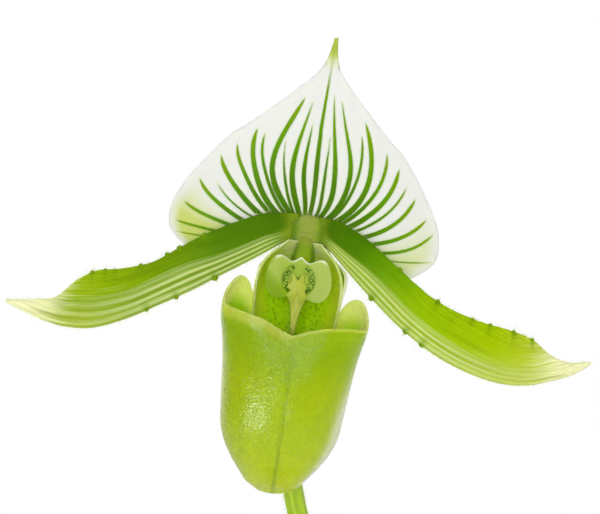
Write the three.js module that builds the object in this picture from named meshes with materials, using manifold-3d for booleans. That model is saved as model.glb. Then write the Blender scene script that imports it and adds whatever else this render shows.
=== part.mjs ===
// A potted Maudiae-type slipper orchid in millimetres, +Z up, the flower facing -Y.
// The origin is the middle of the pot's underside. One fan of mottled leaves and a younger one stand in
// bark in a clay pot, and a single bloom faces forward on a leaning scape.
import * as THREE from "three";
import { mergeVertices } from "three/addons/utils/BufferGeometryUtils.js";
import Module from "manifold-3d";

const wasm = await Module();
wasm.setup();

// Clearance left between two pieces that touch.
const GAP = 0.3;
const DEG = Math.PI / 180;

const POT = {
  height: 101,
  footRadius: 41,
  shoulderRadius: 53.5,
  shoulderHeight: 78,
  bandLowRadius: 57,
  bandTopRadius: 59.5,
  innerFootRadius: 36,
  innerTopRadius: 53,
  floor: 8,
  lip: 1.6,
  footBevel: 1.3,
  sides: 40,
  holes: 4,
  holeRadius: 5.5,
  holeRing: 20,
};
const BARK = {
  top: 85,
  chips: 46,
  chipSize: 15.5,
  // A chip's radii at its two ends, its height, its stretch, and how far it tips, as shares of its length.
  chipEnds: [0.34, 0.46],
  chipHeight: 0.34,
  chipStretch: [1.25, 1, 0.8],
  chipTip: [1.3, 0.9],
  chipLift: 1.6,
  dishRadius: 12.5,
  dishFlare: 1.25,
  dishFloor: 79,
  seed: 11,
};
// Turn from each chip to the next that spreads them evenly over the bed.
const GOLDEN_TURN = Math.PI * (3 - Math.sqrt(5));

// The two growths: where each stands, the way its fan faces, its roots, and its leaves from the oldest
// inwards. A root with no depth humps over the bark before it dives. rise is a leaf's slope at the base and
// droop at the tip, and swing turns it sideways on the way out.
const GROWTHS = [
  {
    name: "main",
    at: [5, -7],
    fan: 12,
    girth: 1,
    roots: [
      { turn: 15, reach: 32, depth: 22 },
      { turn: 40, reach: 30, depth: 36 },
      { turn: 165, reach: 32, depth: 18 },
      { turn: 215, reach: 30, depth: 34 },
      { turn: 255, reach: 22, depth: 26 },
      { turn: 310, reach: 24, depth: 32 },
      { turn: 283, reach: 33 },
      { turn: 338, reach: 36 },
    ],
    leaves: [
      { side: 1, length: 158, width: 42, rise: 46, droop: -48, swing: -34, roll: 10 },
      { side: -1, length: 150, width: 41, rise: 46, droop: -42, swing: 36, roll: -12 },
      { side: 1, length: 146, width: 43, rise: 60, droop: -28, swing: 12, roll: -6 },
      { side: -1, length: 138, width: 42, rise: 62, droop: -22, swing: -8, roll: 7 },
      { side: 1, length: 112, width: 36, rise: 73, droop: 6, swing: -14, roll: 4 },
      { side: -1, length: 104, width: 34, rise: 75, droop: 18, swing: 16, roll: -5 },
    ],
  },
  {
    name: "side",
    at: [-6, 20],
    fan: 34,
    girth: 0.74,
    roots: [
      { turn: 80, reach: 18, depth: 34 },
      { turn: 125, reach: 16, depth: 26 },
      { turn: 20, reach: 24, depth: 20 },
    ],
    leaves: [
      { side: 1, length: 108, width: 33, rise: 54, droop: -26, swing: 40, roll: -8 },
      { side: -1, length: 98, width: 30, rise: 58, droop: -10, swing: -66, roll: 8 },
      { side: 1, length: 72, width: 24, rise: 76, droop: 40, swing: 40, roll: 0 },
    ],
  },
];
const LEAF = {
  thick: 1.3,
  edgeThick: 0.8,
  seatHeight: 85.5,
  stepHeight: 3,
  baseHalf: 10,
  baseStep: 1.8,
  // Half width beyond the folded base as a share of the leaf's width, and the fold in degrees, both from
  // base to tip.
  halfWidths: [0.31, 0.41, 0.47, 0.5, 0.495, 0.46, 0.38, 0.24, 0.03],
  folds: [54, 50, 34, 22, 17, 14, 12, 10, 9, 8, 8],
  wave: 0.7,
  waves: 9,
};
const CROWN = {
  heights: [64, 68, 75, 83, 88, 93, 98],
  reaches: [2.5, 6, 8.6, 8.2, 6.4, 4.6, 3.6],
  flatness: 0.66,
  leastAcross: 3.5,
  socketFloor: 90,
};
// A root's course from the short stem: share of its reach, height and sideways sway at each point.
const ROOT = {
  radius: 2,
  sides: 5,
  deepCourse: [[0.04, 74, 0], [0.3, 72, 0], [0.7, 62, 2], [0.9, 48, -2]],
  deepEndSway: 3,
  overCourse: [[0.06, 78, 0], [0.3, 82.5, 0], [0.52, 89, 1], [0.76, 88.5, 3], [0.94, 82, 4], [1, 70, 4]],
  taper: [1, 1.05, 1, 0.95, 0.8],
};

// The flower's centre, where sepals, petals, lip and column meet, and how far the bloom leans clockwise.
const CENTRE = new THREE.Vector3(-20.6, -16, 385);
const ROLL = 8 * DEG;
// The joint of scape and ovary, from the flower's centre.
const JOINT = [2.6, 18, -72];
const SCAPE = { footRadius: 2.4, topRadius: 2.0 };
const OVARY = {
  // Middle line from the flower's centre down to the joint, and the radius at each point.
  path: [
    [0.4, 4.4, -0.8], [0.2, 8.6, -2.6], [-1.2, 13.2, -9], [-3.4, 16.2, -22],
    [-3.9, 17.4, -38], [-2.5, 17.8, -50.4], [0.0, 18, -62],
  ],
  radii: [3.3, 3.5, 3.1, 2.7, 2.2, 1.9, 1.9, 1.9],
  rib: 0.07,
};
// The bract's wrap is half its arc in degrees, and closing and flare follow it from foot to tip.
const BRACT = {
  below: 3,
  length: 18,
  radius: 3.1,
  wrap: 118,
  facing: 200,
  lean: -0.2,
  thick: 0.8,
  closing: [1, 1, 0.86, 0.62, 0.34, 0.05],
  flare: [-0.35, 0.3, 1.0, 1.7, 2.4, 3.2],
};
const TISSUE = { sepal: 1.0, synsepal: 0.9, petal: 1.1, lip: 1.1, margin: 0.7 };

// Dorsal sepal: each row entry belongs to a vein, from the midrib to the lower edge of a side lobe.
// A vein is a quadratic curve from its root through pull to the rim. Sideways numbers count from the
// midline.
const SEPAL = {
  midline: -0.1,
  midlineLean: 0.03,
  rim: [
    [0.35, 36.2], [1.0, 32.8], [2.4, 29.4], [7.4, 24], [13.4, 18.4], [17.2, 15.1],
    [21.4, 9.5], [24.1, 5.2], [25.8, 1.2], [25.7, -3.6], [21.8, -7.1],
  ],
  pull: [
    [0.1, 18], [7.4, 11], [13.4, 11.7], [18.0, 7.8], [17.8, 6.2], [18.2, 3.6],
    [19.7, -1.0], [20, -2.8], [20.5, -4.8], [15, -5.4], [13, -6.8],
  ],
  rootEnd: [3, -3.4],
  back: 2.6,
  // How far the side lobes bend back, how deep and wide the midrib's groove is, and how far the tip nods.
  halfWidth: 26,
  sideBack: 5.2,
  groove: 0.7,
  grooveWidth: 3,
  height: 36,
  hood: 4.5,
};
const SYNSEPAL = {
  middle: 0.9,
  length: 33,
  top: -4.4,
  halfWidths: [4.4, 8.2, 8.9, 8.6, 7.4, 5.2, 2.6, 0.5],
  back: 4.6,
  lean: 1.4,
  curlRadius: 18,
  keel: 0.5,
  cup: 0.012,
};
// Petals: matching points on the upper and lower margins, from the flower's centre to the tip.
const PETALS = {
  right: {
    hand: 1,
    upper: [
      [2.9, 2.0], [6.8, 1.5], [12.5, -1.2], [18.8, -5.6], [24.5, -9.4], [30.3, -11.9],
      [35.9, -13.6], [41.3, -14.2], [45.8, -15.3], [49.5, -18.0], [53.5, -18.8], [57.6, -18.1],
    ],
    lower: [
      [3.1, -2.6], [5.0, -3.8], [9.2, -7.5], [14.5, -12], [20.8, -16.8], [27.7, -20.8],
      [34.0, -23.2], [40.5, -24.5], [46.2, -24.2], [50.6, -22.7], [54.2, -21.2], [57.4, -18.6],
    ],
    upperWarts: [0.27, 0.44, 0.56, 0.62, 0.7, 0.76],
    lowerWarts: [0.26, 0.37, 0.43],
  },
  left: {
    hand: -1,
    upper: [
      [2.0, 2.1], [7.5, 1.4], [12.7, -0.9], [18, -3.9], [23.2, -7.5], [28.2, -10.9],
      [33.2, -13.0], [38.2, -13.9], [41.6, -16.2], [44.8, -20.1], [49.2, -21.0], [54.1, -21.8],
    ],
    lower: [
      [2.2, -2.6], [4.8, -4.6], [9.5, -8.0], [14, -11.1], [19.5, -15], [25.3, -18.6],
      [31.3, -22.2], [37.4, -24.8], [42.5, -25.3], [46.4, -24.8], [50.2, -23.8], [54.0, -22.3],
    ],
    upperWarts: [0.28, 0.37, 0.41, 0.48, 0.58, 0.61, 0.66],
    lowerWarts: [0.3, 0.41, 0.49],
  },
};
const PETAL = {
  back: 0.7,
  sweep: -7,
  returnSweep: 12,
  baseTilt: 0.3,
  tipTilt: -0.3,
  camber: 1.5,
  wart: 0.8,
  wartPlace: 0.97,
};

// Lip: a slipper-shaped pouch hanging in front of the ovary, and the trough that joins it to the centre.
// Heights run from the toe up. Widths are half the pouch, front and back are its depth positions.
const POUCH = {
  middle: 0.5,
  heights: [-51.1, -50.6, -49, -47, -44.9, -42, -38.7, -35, -31, -27, -23, -18, -14, -10],
  halfWidths: [0.3, 2.4, 4.9, 6.5, 8.1, 9.8, 11, 11.5, 11.9, 12.3, 12.9, 13.9, 13.6, 12.4],
  fronts: [-12.2, -14.2, -17, -19.4, -21.2, -22.6, -23.6, -23.9, -23.5, -22.6, -21.2, -19.4, -18.4, -17.6],
  backs: [-11.6, -9.8, -7.6, -5.9, -4.4, -3, -1.7, -0.8, -0.1, 0.4, 0.8, 1.2, 1.2, 0.8],
  // The rim's height by the turn in degrees from the front: a notch in front, a tall ear on each side.
  rimTurns: [0, 14, 32, 55, 76, 88, 100, 112, 124, 136, 146, 156, 180],
  rimHeights: [-20.6, -19.6, -18.6, -17.8, -17.2, -15.6, -13.2, -11.6, -11.7, -13.8, -16.4, -17.2, -17],
  // How much of its rise above the rim's corner the right ear keeps.
  earFoot: -17.2,
  rightEar: 0.72,
  squareness: 0.86,
  leastHalf: 0.15,
  // Shares of the way from the toe to the rim at which the wall has a ring.
  climbs: [0.004, 0.02, 0.07, 0.15, 0.26, 0.4, 0.56, 0.74, 0.9, 1],
  around: 32,
};
const TROUGH = {
  middle: 0.7,
  heights: [-26, -21, -17, -13, -9, -6, -3.6, -2.2],
  radii: [7.4, 7.8, 8.1, 8.3, 8.2, 7.2, 5.0, 3.4],
  backs: [1.1, 1.7, 2.3, 2.7, 2.3, 1.1, -0.5, -1.8],
  wraps: [96, 104, 110, 112, 112, 108, 100, 92],
};
// The pale keel that runs down the trough's middle into the pouch, narrowing on the way.
const KEEL = {
  heights: [-15.2, -16.6, -18.5, -21, -24],
  halfWidths: [2.0, 1.3, 0.95, 0.7, 0.5],
  fronts: [-7.4, -7.2, -6.4, -4.6, -1.2],
  middle: 0.4,
  back: 1.6,
  crest: 0.8,
};
// Column: a stalk that carries the shield-shaped staminode, with the stigma and anthers behind it.
const STALK = {
  line: [[0.4, 5.2, -0.6], [0.5, 0.8, -1.8], [0.4, -3.4, -4.7], [0.3, -5.8, -7.2], [0.2, -7.2, -9.2]],
  radii: [2.6, 2.8, 3.1, 2.6, 2.0],
};
const SHIELD = {
  at: [0.2, -9.6, -10.1],
  // Half outline from the top peak round a lobe to the lower middle, sideways and up from the middle.
  outline: [
    [0.0, 4.1], [1.0, 3.9], [2.1, 3.4], [3.2, 4.1], [4.3, 4.4], [5.4, 3.5], [6.1, 1.3], [6.3, -0.7],
    [5.9, -2.5], [4.9, -3.7], [3.7, -4.1], [2.6, -3.5], [1.8, -2.6], [0.0, -2.4],
  ],
  thick: 1.0,
  dish: 0.7,
  dishRadius: 6,
  // Rings of the shield from the middle of its face round the edge to its back: size and depth of each.
  layers: [[0.35, 0], [0.75, 0], [1, 0.1], [0.96, 1.0], [0.4, 1.0]],
};
// The toothed boss on the shield: half its outline from the dip between two horns down to its foot.
const BOSS = {
  outline: [
    [0.0, -0.3], [0.45, -0.1], [1.05, 0.95], [1.45, 0.1], [1.2, -0.5], [1.85, -0.95], [1.45, -1.6],
    [1.95, -2.1], [1.5, -2.6], [2.1, -3.4], [0.9, -3.9], [0.0, -4.1],
  ],
  proud: 0.7,
};
const STIGMA = { radius: 2.6, at: [0.3, -5.6, -11.6], stretch: [1.2, 0.7, 1.1] };
const ANTHERS = [-3.6, 4.0].map((side) => ({ radius: 1.5, at: [side, -6.6, -8.2], stretch: [1, 1.2, 1] }));

// Smooth value at position x, from 0 to 1, through evenly spaced numbers or points.
function through(table, x) {
  const spans = table.length - 1;
  const place = THREE.MathUtils.clamp(x, 0, 1) * spans;
  const i = Math.min(Math.floor(place), spans - 1);
  return hermite(table, i, place - i);
}

// Smooth value at x on a table whose positions are listed in rising order.
function lookUp(positions, table, x) {
  let i = 0;
  while (i < positions.length - 2 && x > positions[i + 1]) i += 1;
  const share = (x - positions[i]) / (positions[i + 1] - positions[i]);
  return hermite(table, i, THREE.MathUtils.clamp(share, 0, 1));
}

// Catmull-Rom value between entries i and i + 1, number by number where the entries are points.
function hermite(table, i, f) {
  const last = table.length - 1;
  const four = [table[Math.max(i - 1, 0)], table[i], table[i + 1], table[Math.min(i + 2, last)]];
  const mix = ([a, b, c, d]) =>
    b + 0.5 * f * (c - a + f * (2 * a - 5 * b + 4 * c - d + f * (3 * (b - c) + d - a)));
  if (typeof table[0] === "number") return mix(four);
  return table[0].map((_, k) => mix(four.map((entry) => entry[k])));
}

// A repeatable run of numbers from 0 to 1.
function draws(seed) {
  let state = seed;
  return () => {
    state = (state * 1664525 + 1013904223) % 4294967296;
    return state / 4294967296;
  };
}

function geometryFrom(points, triangles) {
  const geometry = new THREE.BufferGeometry();
  geometry.setAttribute("position", new THREE.Float32BufferAttribute(points.flat(), 3));
  geometry.setIndex(triangles.flat());
  return geometry;
}

// A closed body as a manifold-3d solid, ready to be joined or cut.
function solidOf(geometry) {
  const bare = geometry.clone();
  bare.deleteAttribute("normal");
  bare.deleteAttribute("uv");
  const merged = mergeVertices(bare, 1e-3);
  return new wasm.Manifold(
    new wasm.Mesh({
      numProp: 3,
      vertProperties: merged.attributes.position.array,
      triVerts: new Uint32Array(merged.index.array),
    }),
  );
}

// The largest body of a solid as a geometry, so that a scrap left by a cut is dropped.
function geometryOf(solid) {
  const [body] = solid.decompose().sort((a, b) => b.volume() - a.volume());
  const { numProp, vertProperties, triVerts } = body.getMesh();
  const points = [];
  for (let i = 0; i < vertProperties.length; i += numProp) points.push([...vertProperties.slice(i, i + 3)]);
  return geometryFrom(points, [[...triVerts]]);
}

const joined = (solids) => solids.reduce((sum, next) => sum.add(next));

// Direction square to the surface at(s, t), where s runs from 0 to 1 and t from -1 to 1.
function normalAt(at, s, t) {
  const step = 1e-3;
  const s0 = Math.min(s, 1 - step);
  const t0 = Math.min(t, 1 - step);
  const corner = new THREE.Vector3(...at(s0, t0));
  const along = new THREE.Vector3(...at(s0 + step, t0)).sub(corner);
  const across = new THREE.Vector3(...at(s0, t0 + step)).sub(corner);
  return along.cross(across).normalize();
}

// A thin closed blade whose middle surface is at(s, t), with s along it and t across it from -1 to 1.
// Both faces are split into triangles alike.
function blade(at, thickness, lengthSteps, widthSteps) {
  const points = [];
  for (const side of [0.5, -0.5]) {
    for (let i = 0; i <= lengthSteps; i += 1) {
      for (let j = 0; j <= widthSteps; j += 1) {
        const [s, t] = [i / lengthSteps, (2 * j) / widthSteps - 1];
        const point = new THREE.Vector3(...at(s, t));
        points.push(point.addScaledVector(normalAt(at, s, t), side * thickness(s, t)).toArray());
      }
    }
  }
  const row = widthSteps + 1;
  const face = row * (lengthSteps + 1);
  const triangles = [];
  for (let i = 0; i < lengthSteps; i += 1) {
    for (let j = 0; j < widthSteps; j += 1) {
      const a = i * row + j;
      const [b, c, d] = [a + row, a + row + 1, a + 1];
      triangles.push([a, b, c], [a, c, d]);
      triangles.push([face + a, face + c, face + b], [face + a, face + d, face + c]);
    }
  }
  const wall = (a, b) => triangles.push([a, face + a, face + b], [a, face + b, b]);
  for (let i = 0; i < lengthSteps; i += 1) {
    wall(i * row, (i + 1) * row);
    wall((i + 1) * row + widthSteps, i * row + widthSteps);
  }
  for (let j = 0; j < widthSteps; j += 1) {
    wall(j + 1, j);
    wall(lengthSteps * row + j, lengthSteps * row + j + 1);
  }
  return facingOut(geometryFrom(points, triangles));
}

// A closed body through rings of points, with a point in the middle of each end ring.
function loft(rings) {
  const sides = rings[0].length;
  const points = rings.flat();
  const triangles = [];
  for (let i = 0; i < rings.length - 1; i += 1) {
    for (let j = 0; j < sides; j += 1) {
      const a = i * sides + j;
      const b = i * sides + ((j + 1) % sides);
      triangles.push([a, b, b + sides], [a, b + sides, a + sides]);
    }
  }
  for (const last of [false, true]) {
    const ring = rings.at(last ? -1 : 0);
    const start = last ? (rings.length - 1) * sides : 0;
    const tip = points.push([0, 1, 2].map((k) => ring.reduce((sum, p) => sum + p[k], 0) / sides)) - 1;
    for (let j = 0; j < sides; j += 1) {
      const [a, b] = [start + j, start + ((j + 1) % sides)];
      triangles.push(last ? [a, b, tip] : [b, a, tip]);
    }
  }
  return facingOut(geometryFrom(points, triangles));
}

// Turns every triangle round if the body is inside out.
function facingOut(geometry) {
  const { array } = geometry.attributes.position;
  const index = geometry.index.array;
  const corner = (i) => new THREE.Vector3().fromArray(array, index[i] * 3);
  let volume = 0;
  for (let i = 0; i < index.length; i += 3) volume += corner(i).cross(corner(i + 1)).dot(corner(i + 2));
  for (let i = 0; volume < 0 && i < index.length; i += 3) {
    [index[i], index[i + 1]] = [index[i + 1], index[i]];
  }
  return geometry;
}

// A tube along a smooth line through points, whose radius follows radii. extra makes it thicker and
// longer, and rib makes every other corner stand out.
function tube(line, radii, sides, steps, { extra = 0, rib = 0 } = {}) {
  const curve = new THREE.CatmullRomCurve3(line.map((p) => new THREE.Vector3(...p)));
  const up = new THREE.Vector3(0.31, 0.95, 0.05);
  const rings = [];
  for (let i = 0; i <= steps; i += 1) {
    const along = curve.getTangent(i / steps);
    const end = (i === steps ? extra : 0) - (i === 0 ? extra : 0);
    const middle = curve.getPoint(i / steps).addScaledVector(along, end);
    const side = along.clone().cross(up).normalize();
    const other = along.clone().cross(side).normalize();
    const radius = through(radii, i / steps) + extra;
    rings.push(
      Array.from({ length: sides }, (_, j) => {
        const turn = (2 * Math.PI * j) / sides;
        const reach = radius * (1 + (j % 2 ? rib : -rib));
        const point = middle.clone().addScaledVector(side, reach * Math.cos(turn));
        return point.addScaledVector(other, reach * Math.sin(turn)).toArray();
      }),
    );
  }
  return loft(rings);
}

const innerRadius = (z) =>
  POT.innerFootRadius +
  ((z - POT.floor) / (POT.height - POT.floor)) * (POT.innerTopRadius - POT.innerFootRadius);

// The clay pot: a tapered body under a thick band, four drain holes round a solid middle.
function potGeometry() {
  const { height, footRadius, shoulderRadius, shoulderHeight, floor, lip } = POT;
  const { bandLowRadius, bandTopRadius } = POT;
  const profile = [
    [0, 0], [footRadius - POT.footBevel, 0], [footRadius, POT.footBevel], [shoulderRadius, shoulderHeight],
    [bandLowRadius - lip / 2, shoulderHeight + lip / 2], [bandLowRadius, shoulderHeight + lip * 1.5],
    [bandTopRadius, height - 2 * lip], [bandTopRadius - lip * 0.4, height - lip * 0.6],
    [bandTopRadius - lip * 1.2, height], [POT.innerTopRadius + lip, height],
    [POT.innerTopRadius, height - lip], [POT.innerFootRadius, floor], [0, floor],
  ];
  const body = new THREE.LatheGeometry(profile.map(([r, z]) => new THREE.Vector2(r, z)), POT.sides);
  body.rotateX(90 * DEG);
  const holes = Array.from({ length: POT.holes }, (_, i) => {
    const turn = ((i + 0.5) / POT.holes) * 2 * Math.PI;
    const hole = new THREE.CylinderGeometry(POT.holeRadius, POT.holeRadius, 4 * floor, 16);
    hole.rotateX(90 * DEG);
    hole.translate(POT.holeRing * Math.cos(turn), POT.holeRing * Math.sin(turn), 0);
    return solidOf(hole);
  });
  return geometryOf(holes.reduce((left, hole) => left.subtract(hole), solidOf(body)));
}

// Middle line of a root from a growth's short stem down through the bark, or over it first.
function rootLine(growth, { turn, reach, depth }) {
  const [x, y] = growth.at;
  const [c, s] = [Math.cos(turn * DEG), Math.sin(turn * DEG)];
  const course = depth ? [...ROOT.deepCourse, [1, depth, ROOT.deepEndSway]] : ROOT.overCourse;
  return course.map(([share, z, sway]) => {
    const out = reach * share;
    return [x + out * c - sway * s, y + out * s + sway * c, z];
  });
}

// All roots of a growth, each thicker and longer by extra.
function rootSolids(growth, extra) {
  const radii = ROOT.taper.map((share) => share * ROOT.radius * Math.sqrt(growth.girth));
  return growth.roots.map((root) => {
    const line = rootLine(growth, root);
    return solidOf(tube(line, radii, ROOT.sides, line.length + 1, { extra }));
  });
}

// The short stem that carries a fan of leaves, wider along the fan than across it.
function crownSolid(growth, extra) {
  const { heights, reaches, flatness, leastAcross } = CROWN;
  const [cos, sin] = [Math.cos(growth.fan * DEG), Math.sin(growth.fan * DEG)];
  const rings = heights.map((z, i) =>
    Array.from({ length: 12 }, (_, j) => {
      const turn = (j / 12) * 2 * Math.PI;
      const along = (reaches[i] * growth.girth + extra) * Math.cos(turn);
      const half = Math.max(reaches[i] * flatness, leastAcross) * growth.girth + extra;
      const across = half * Math.sin(turn);
      const end = i === 0 ? -extra : i === heights.length - 1 ? extra : 0;
      const [x, y] = [along * cos - across * sin, along * sin + across * cos];
      return [growth.at[0] + x, growth.at[1] + y, z + end];
    }),
  );
  return solidOf(loft(rings));
}

// A growth's short stem with its roots. The main one has a socket for the scape.
function crownGeometry(growth) {
  const whole = joined([crownSolid(growth, 0), ...rootSolids(growth, 0)]);
  return geometryOf(growth.name === "main" ? whole.subtract(solidOf(scapeGeometry(GAP))) : whole);
}

// The loose chips on top of the bark: five-sided slabs, each turned and tipped at random.
function chipSolids() {
  const { chips, chipSize, chipEnds, chipHeight, chipStretch, chipTip, chipLift, top } = BARK;
  const draw = draws(BARK.seed);
  return Array.from({ length: chips }, (_, i) => {
    const reach = Math.sqrt((i + 0.5) / chips) * (innerRadius(top) - chipSize * 0.62);
    const turn = i * GOLDEN_TURN;
    const length = chipSize * THREE.MathUtils.lerp(0.65, 1.15, draw());
    const [topRadius, footRadius] = chipEnds.map((share) => share * length);
    const chip = new THREE.CylinderGeometry(topRadius, footRadius, length * chipHeight, 5);
    chip.scale(...chipStretch);
    chip.rotateX((draw() - 0.5) * chipTip[0] + 90 * DEG);
    chip.rotateY((draw() - 0.5) * chipTip[1]);
    chip.rotateZ(draw() * 2 * Math.PI);
    chip.translate(reach * Math.cos(turn), reach * Math.sin(turn), top + chipLift * draw());
    return solidOf(chip);
  });
}

// The dish round a growth where the bark is lower, so that the leaves spring clear of it.
function dishSolid(growth) {
  const depth = BARK.chipSize * 2;
  const radius = BARK.dishRadius * growth.girth;
  const dish = new THREE.CylinderGeometry(radius * BARK.dishFlare, radius, depth, 14);
  dish.rotateX(90 * DEG);
  dish.translate(...growth.at, BARK.dishFloor + depth / 2);
  return solidOf(dish);
}

// The bark mix: a bed that fills the pot, with loose chips on top and room for both growths.
function barkGeometry() {
  const low = POT.floor + GAP;
  const walls = [low, BARK.top].map((z) => [innerRadius(z) - GAP, z]);
  const profile = [[0, low], ...walls, [0, BARK.top]];
  const bed = new THREE.LatheGeometry(profile.map(([r, z]) => new THREE.Vector2(r, z)), POT.sides);
  bed.rotateX(90 * DEG);
  const room = GROWTHS.flatMap((growth) => [
    dishSolid(growth),
    crownSolid(growth, GAP),
    ...rootSolids(growth, GAP * 1.2),
  ]);
  return geometryOf(joined([solidOf(bed), ...chipSolids()]).subtract(joined(room)));
}

// Middle surface of a leaf: a folded channel at the base that opens into a broad arching blade.
function leafSurface(growth, leaf, rank) {
  const seatHeight = LEAF.seatHeight + LEAF.stepHeight * rank;
  const seat = lookUp(CROWN.heights, CROWN.reaches, seatHeight) * growth.girth + GAP;
  const steps = 60;
  const middles = [];
  const frames = [];
  let place = new THREE.Vector3(
    growth.at[0] + leaf.side * seat * Math.cos(growth.fan * DEG),
    growth.at[1] + leaf.side * seat * Math.sin(growth.fan * DEG),
    seatHeight,
  );
  for (let i = 0; i <= steps; i += 1) {
    const s = i / steps;
    const slope = THREE.MathUtils.lerp(leaf.rise, leaf.droop, s ** 0.92) * DEG;
    const azimuth = (growth.fan + (leaf.side < 0 ? 180 : 0) + leaf.swing * s ** 1.4) * DEG;
    const along = new THREE.Vector3(
      Math.cos(slope) * Math.cos(azimuth),
      Math.cos(slope) * Math.sin(azimuth),
      Math.sin(slope),
    );
    const level = new THREE.Vector3(-Math.sin(azimuth), Math.cos(azimuth), 0);
    const across = level.applyAxisAngle(along, leaf.roll * s * DEG);
    middles.push(place.toArray());
    frames.push([across, along.clone().cross(across)]);
    place = place.clone().addScaledVector(along, leaf.length / steps);
  }
  const baseHalf = (LEAF.baseHalf - LEAF.baseStep * rank) * growth.girth;
  const halfWidths = [baseHalf, baseHalf, ...LEAF.halfWidths.map((share) => share * leaf.width)];
  return (s, t) => {
    const i = Math.min(Math.floor(s * steps), steps - 1);
    const [across, out] = frames[Math.round(s * steps)];
    const fold = through(LEAF.folds, s) * DEG;
    const side = t * through(halfWidths, s);
    const rise = Math.sqrt(side * side + 1) - 1;
    const wave = LEAF.wave * Math.sin(s * LEAF.waves + (t > 0 ? 1 : 4)) * t * t;
    return new THREE.Vector3(...middles[i])
      .lerp(new THREE.Vector3(...middles[i + 1]), s * steps - i)
      .addScaledVector(across, side * Math.cos(fold))
      .addScaledVector(out, rise * Math.sin(fold) + wave)
      .toArray();
  };
}

// A leaf, cut back at its base to stand against the short stem. Leaves come in pairs, each pair further in.
function leafGeometry(growth, leaf, index) {
  const rank = Math.floor(index / 2);
  const thickness = (s, t) => THREE.MathUtils.lerp(LEAF.thick, LEAF.edgeThick, Math.abs(t) ** 3);
  const geometry = blade(leafSurface(growth, leaf, rank), thickness, 11, 6);
  return geometryOf(solidOf(geometry).subtract(crownSolid(growth, GAP)));
}

// The scape's middle line, from the socket in the main growth up to the joint, leaning more as it rises.
function scapeLine() {
  const [x, y] = GROWTHS[0].at;
  const foot = CROWN.socketFloor + GAP;
  const top = CENTRE.clone().add(new THREE.Vector3(...JOINT));
  return Array.from({ length: 7 }, (_, i) => {
    const rise = i / 6;
    return [x + (top.x - x) * rise ** 2, y + (top.y - y) * rise, foot + (top.z - GAP - foot) * rise];
  });
}

function scapeGeometry(extra = 0) {
  return tube(scapeLine(), [SCAPE.footRadius, SCAPE.topRadius], 8, 12, { extra });
}

// The ovary below the flower: ribbed, bent forward at the top to carry the flower.
function ovaryGeometry(extra = 0) {
  return tube([...OVARY.path, JOINT], OVARY.radii, 12, 12, { extra, rib: OVARY.rib });
}

// The column's stalk, from the ovary out to the shield.
function stalkSolid(extra = 0) {
  return solidOf(tube(STALK.line, STALK.radii, 10, 6, { extra }));
}

// An organ of the flower, cut back where it would touch the ovary.
function clearOfOvary(solid) {
  const ovary = ovaryGeometry(GAP);
  ovary.rotateY(-ROLL);
  return solid.subtract(solidOf(ovary));
}

// An organ that also stands round the column's stalk.
const seated = (solid) => geometryOf(clearOfOvary(solid).subtract(stalkSolid(GAP)));

// The sheath at the foot of the ovary, a pointed trough wrapped round its back.
function bractGeometry() {
  const { below, length, radius, wrap, facing, thick, closing, flare } = BRACT;
  const lean = new THREE.Vector3(BRACT.lean, 0, 1).normalize();
  const foot = CENTRE.clone().add(new THREE.Vector3(...JOINT)).addScaledVector(lean, -below);
  const at = (s, t) => {
    const turn = (facing + t * wrap * through(closing, s)) * DEG;
    const reach = radius + through(flare, s);
    const middle = foot.clone().addScaledVector(lean, s * length);
    return [middle.x + reach * Math.cos(turn), middle.y + reach * Math.sin(turn), middle.z];
  };
  return blade(at, () => thick, 6, 6);
}

// Point of the dorsal sepal's middle surface, at share s of the way from the base to the rim along a vein.
// t is the vein: 0 is the midrib, and -1 and 1 the lower edges of the side lobes.
function sepalPoint(s, t) {
  const vein = Math.abs(t);
  const rim = through(SEPAL.rim, vein);
  const pull = through(SEPAL.pull, vein);
  const [side, up] = [0, 1].map(
    (k) => (1 - s) ** 2 * SEPAL.rootEnd[k] * vein + 2 * s * (1 - s) * pull[k] + s * s * rim[k],
  );
  const lobe = SEPAL.sideBack * (side / SEPAL.halfWidth) ** 2;
  const groove = SEPAL.groove * Math.exp(-((side / SEPAL.grooveWidth) ** 2));
  const nod = SEPAL.hood * Math.max(up / SEPAL.height, 0) ** 2.5;
  const midline = SEPAL.midline + SEPAL.midlineLean * Math.max(up, 0);
  return [midline + Math.sign(t) * side, SEPAL.back + lobe + groove - nod, up];
}

// Point of the synsepal's middle surface: s runs down it and t across it.
function synsepalPoint(s, t) {
  const { middle, length, top, halfWidths, lean, curlRadius, keel, cup } = SYNSEPAL;
  const side = t * through(halfWidths, s);
  const curl = (side * side) / (2 * curlRadius);
  const back = SYNSEPAL.back - lean * s - curl + keel * Math.exp(-side * side);
  return [middle + side, back, top - length * s + cup * side * side];
}

// Point of a petal's middle surface: s runs out to the tip and t from the lower to the upper margin.
function petalPoint({ hand, upper, lower }, s, t) {
  const high = through(upper, s);
  const low = through(lower, s);
  const share = (t + 1) / 2;
  const half = Math.hypot(high[0] - low[0], high[1] - low[1]) / 2;
  const tilt = THREE.MathUtils.lerp(PETAL.baseTilt, PETAL.tipTilt, s) * t * half;
  const camber = PETAL.camber * Math.sin(Math.PI * s) * t * t;
  const back = PETAL.back + PETAL.sweep * s + PETAL.returnSweep * s * s + tilt + camber;
  return [hand * (low[0] + (high[0] - low[0]) * share), back, low[1] + (high[1] - low[1]) * share];
}

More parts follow.
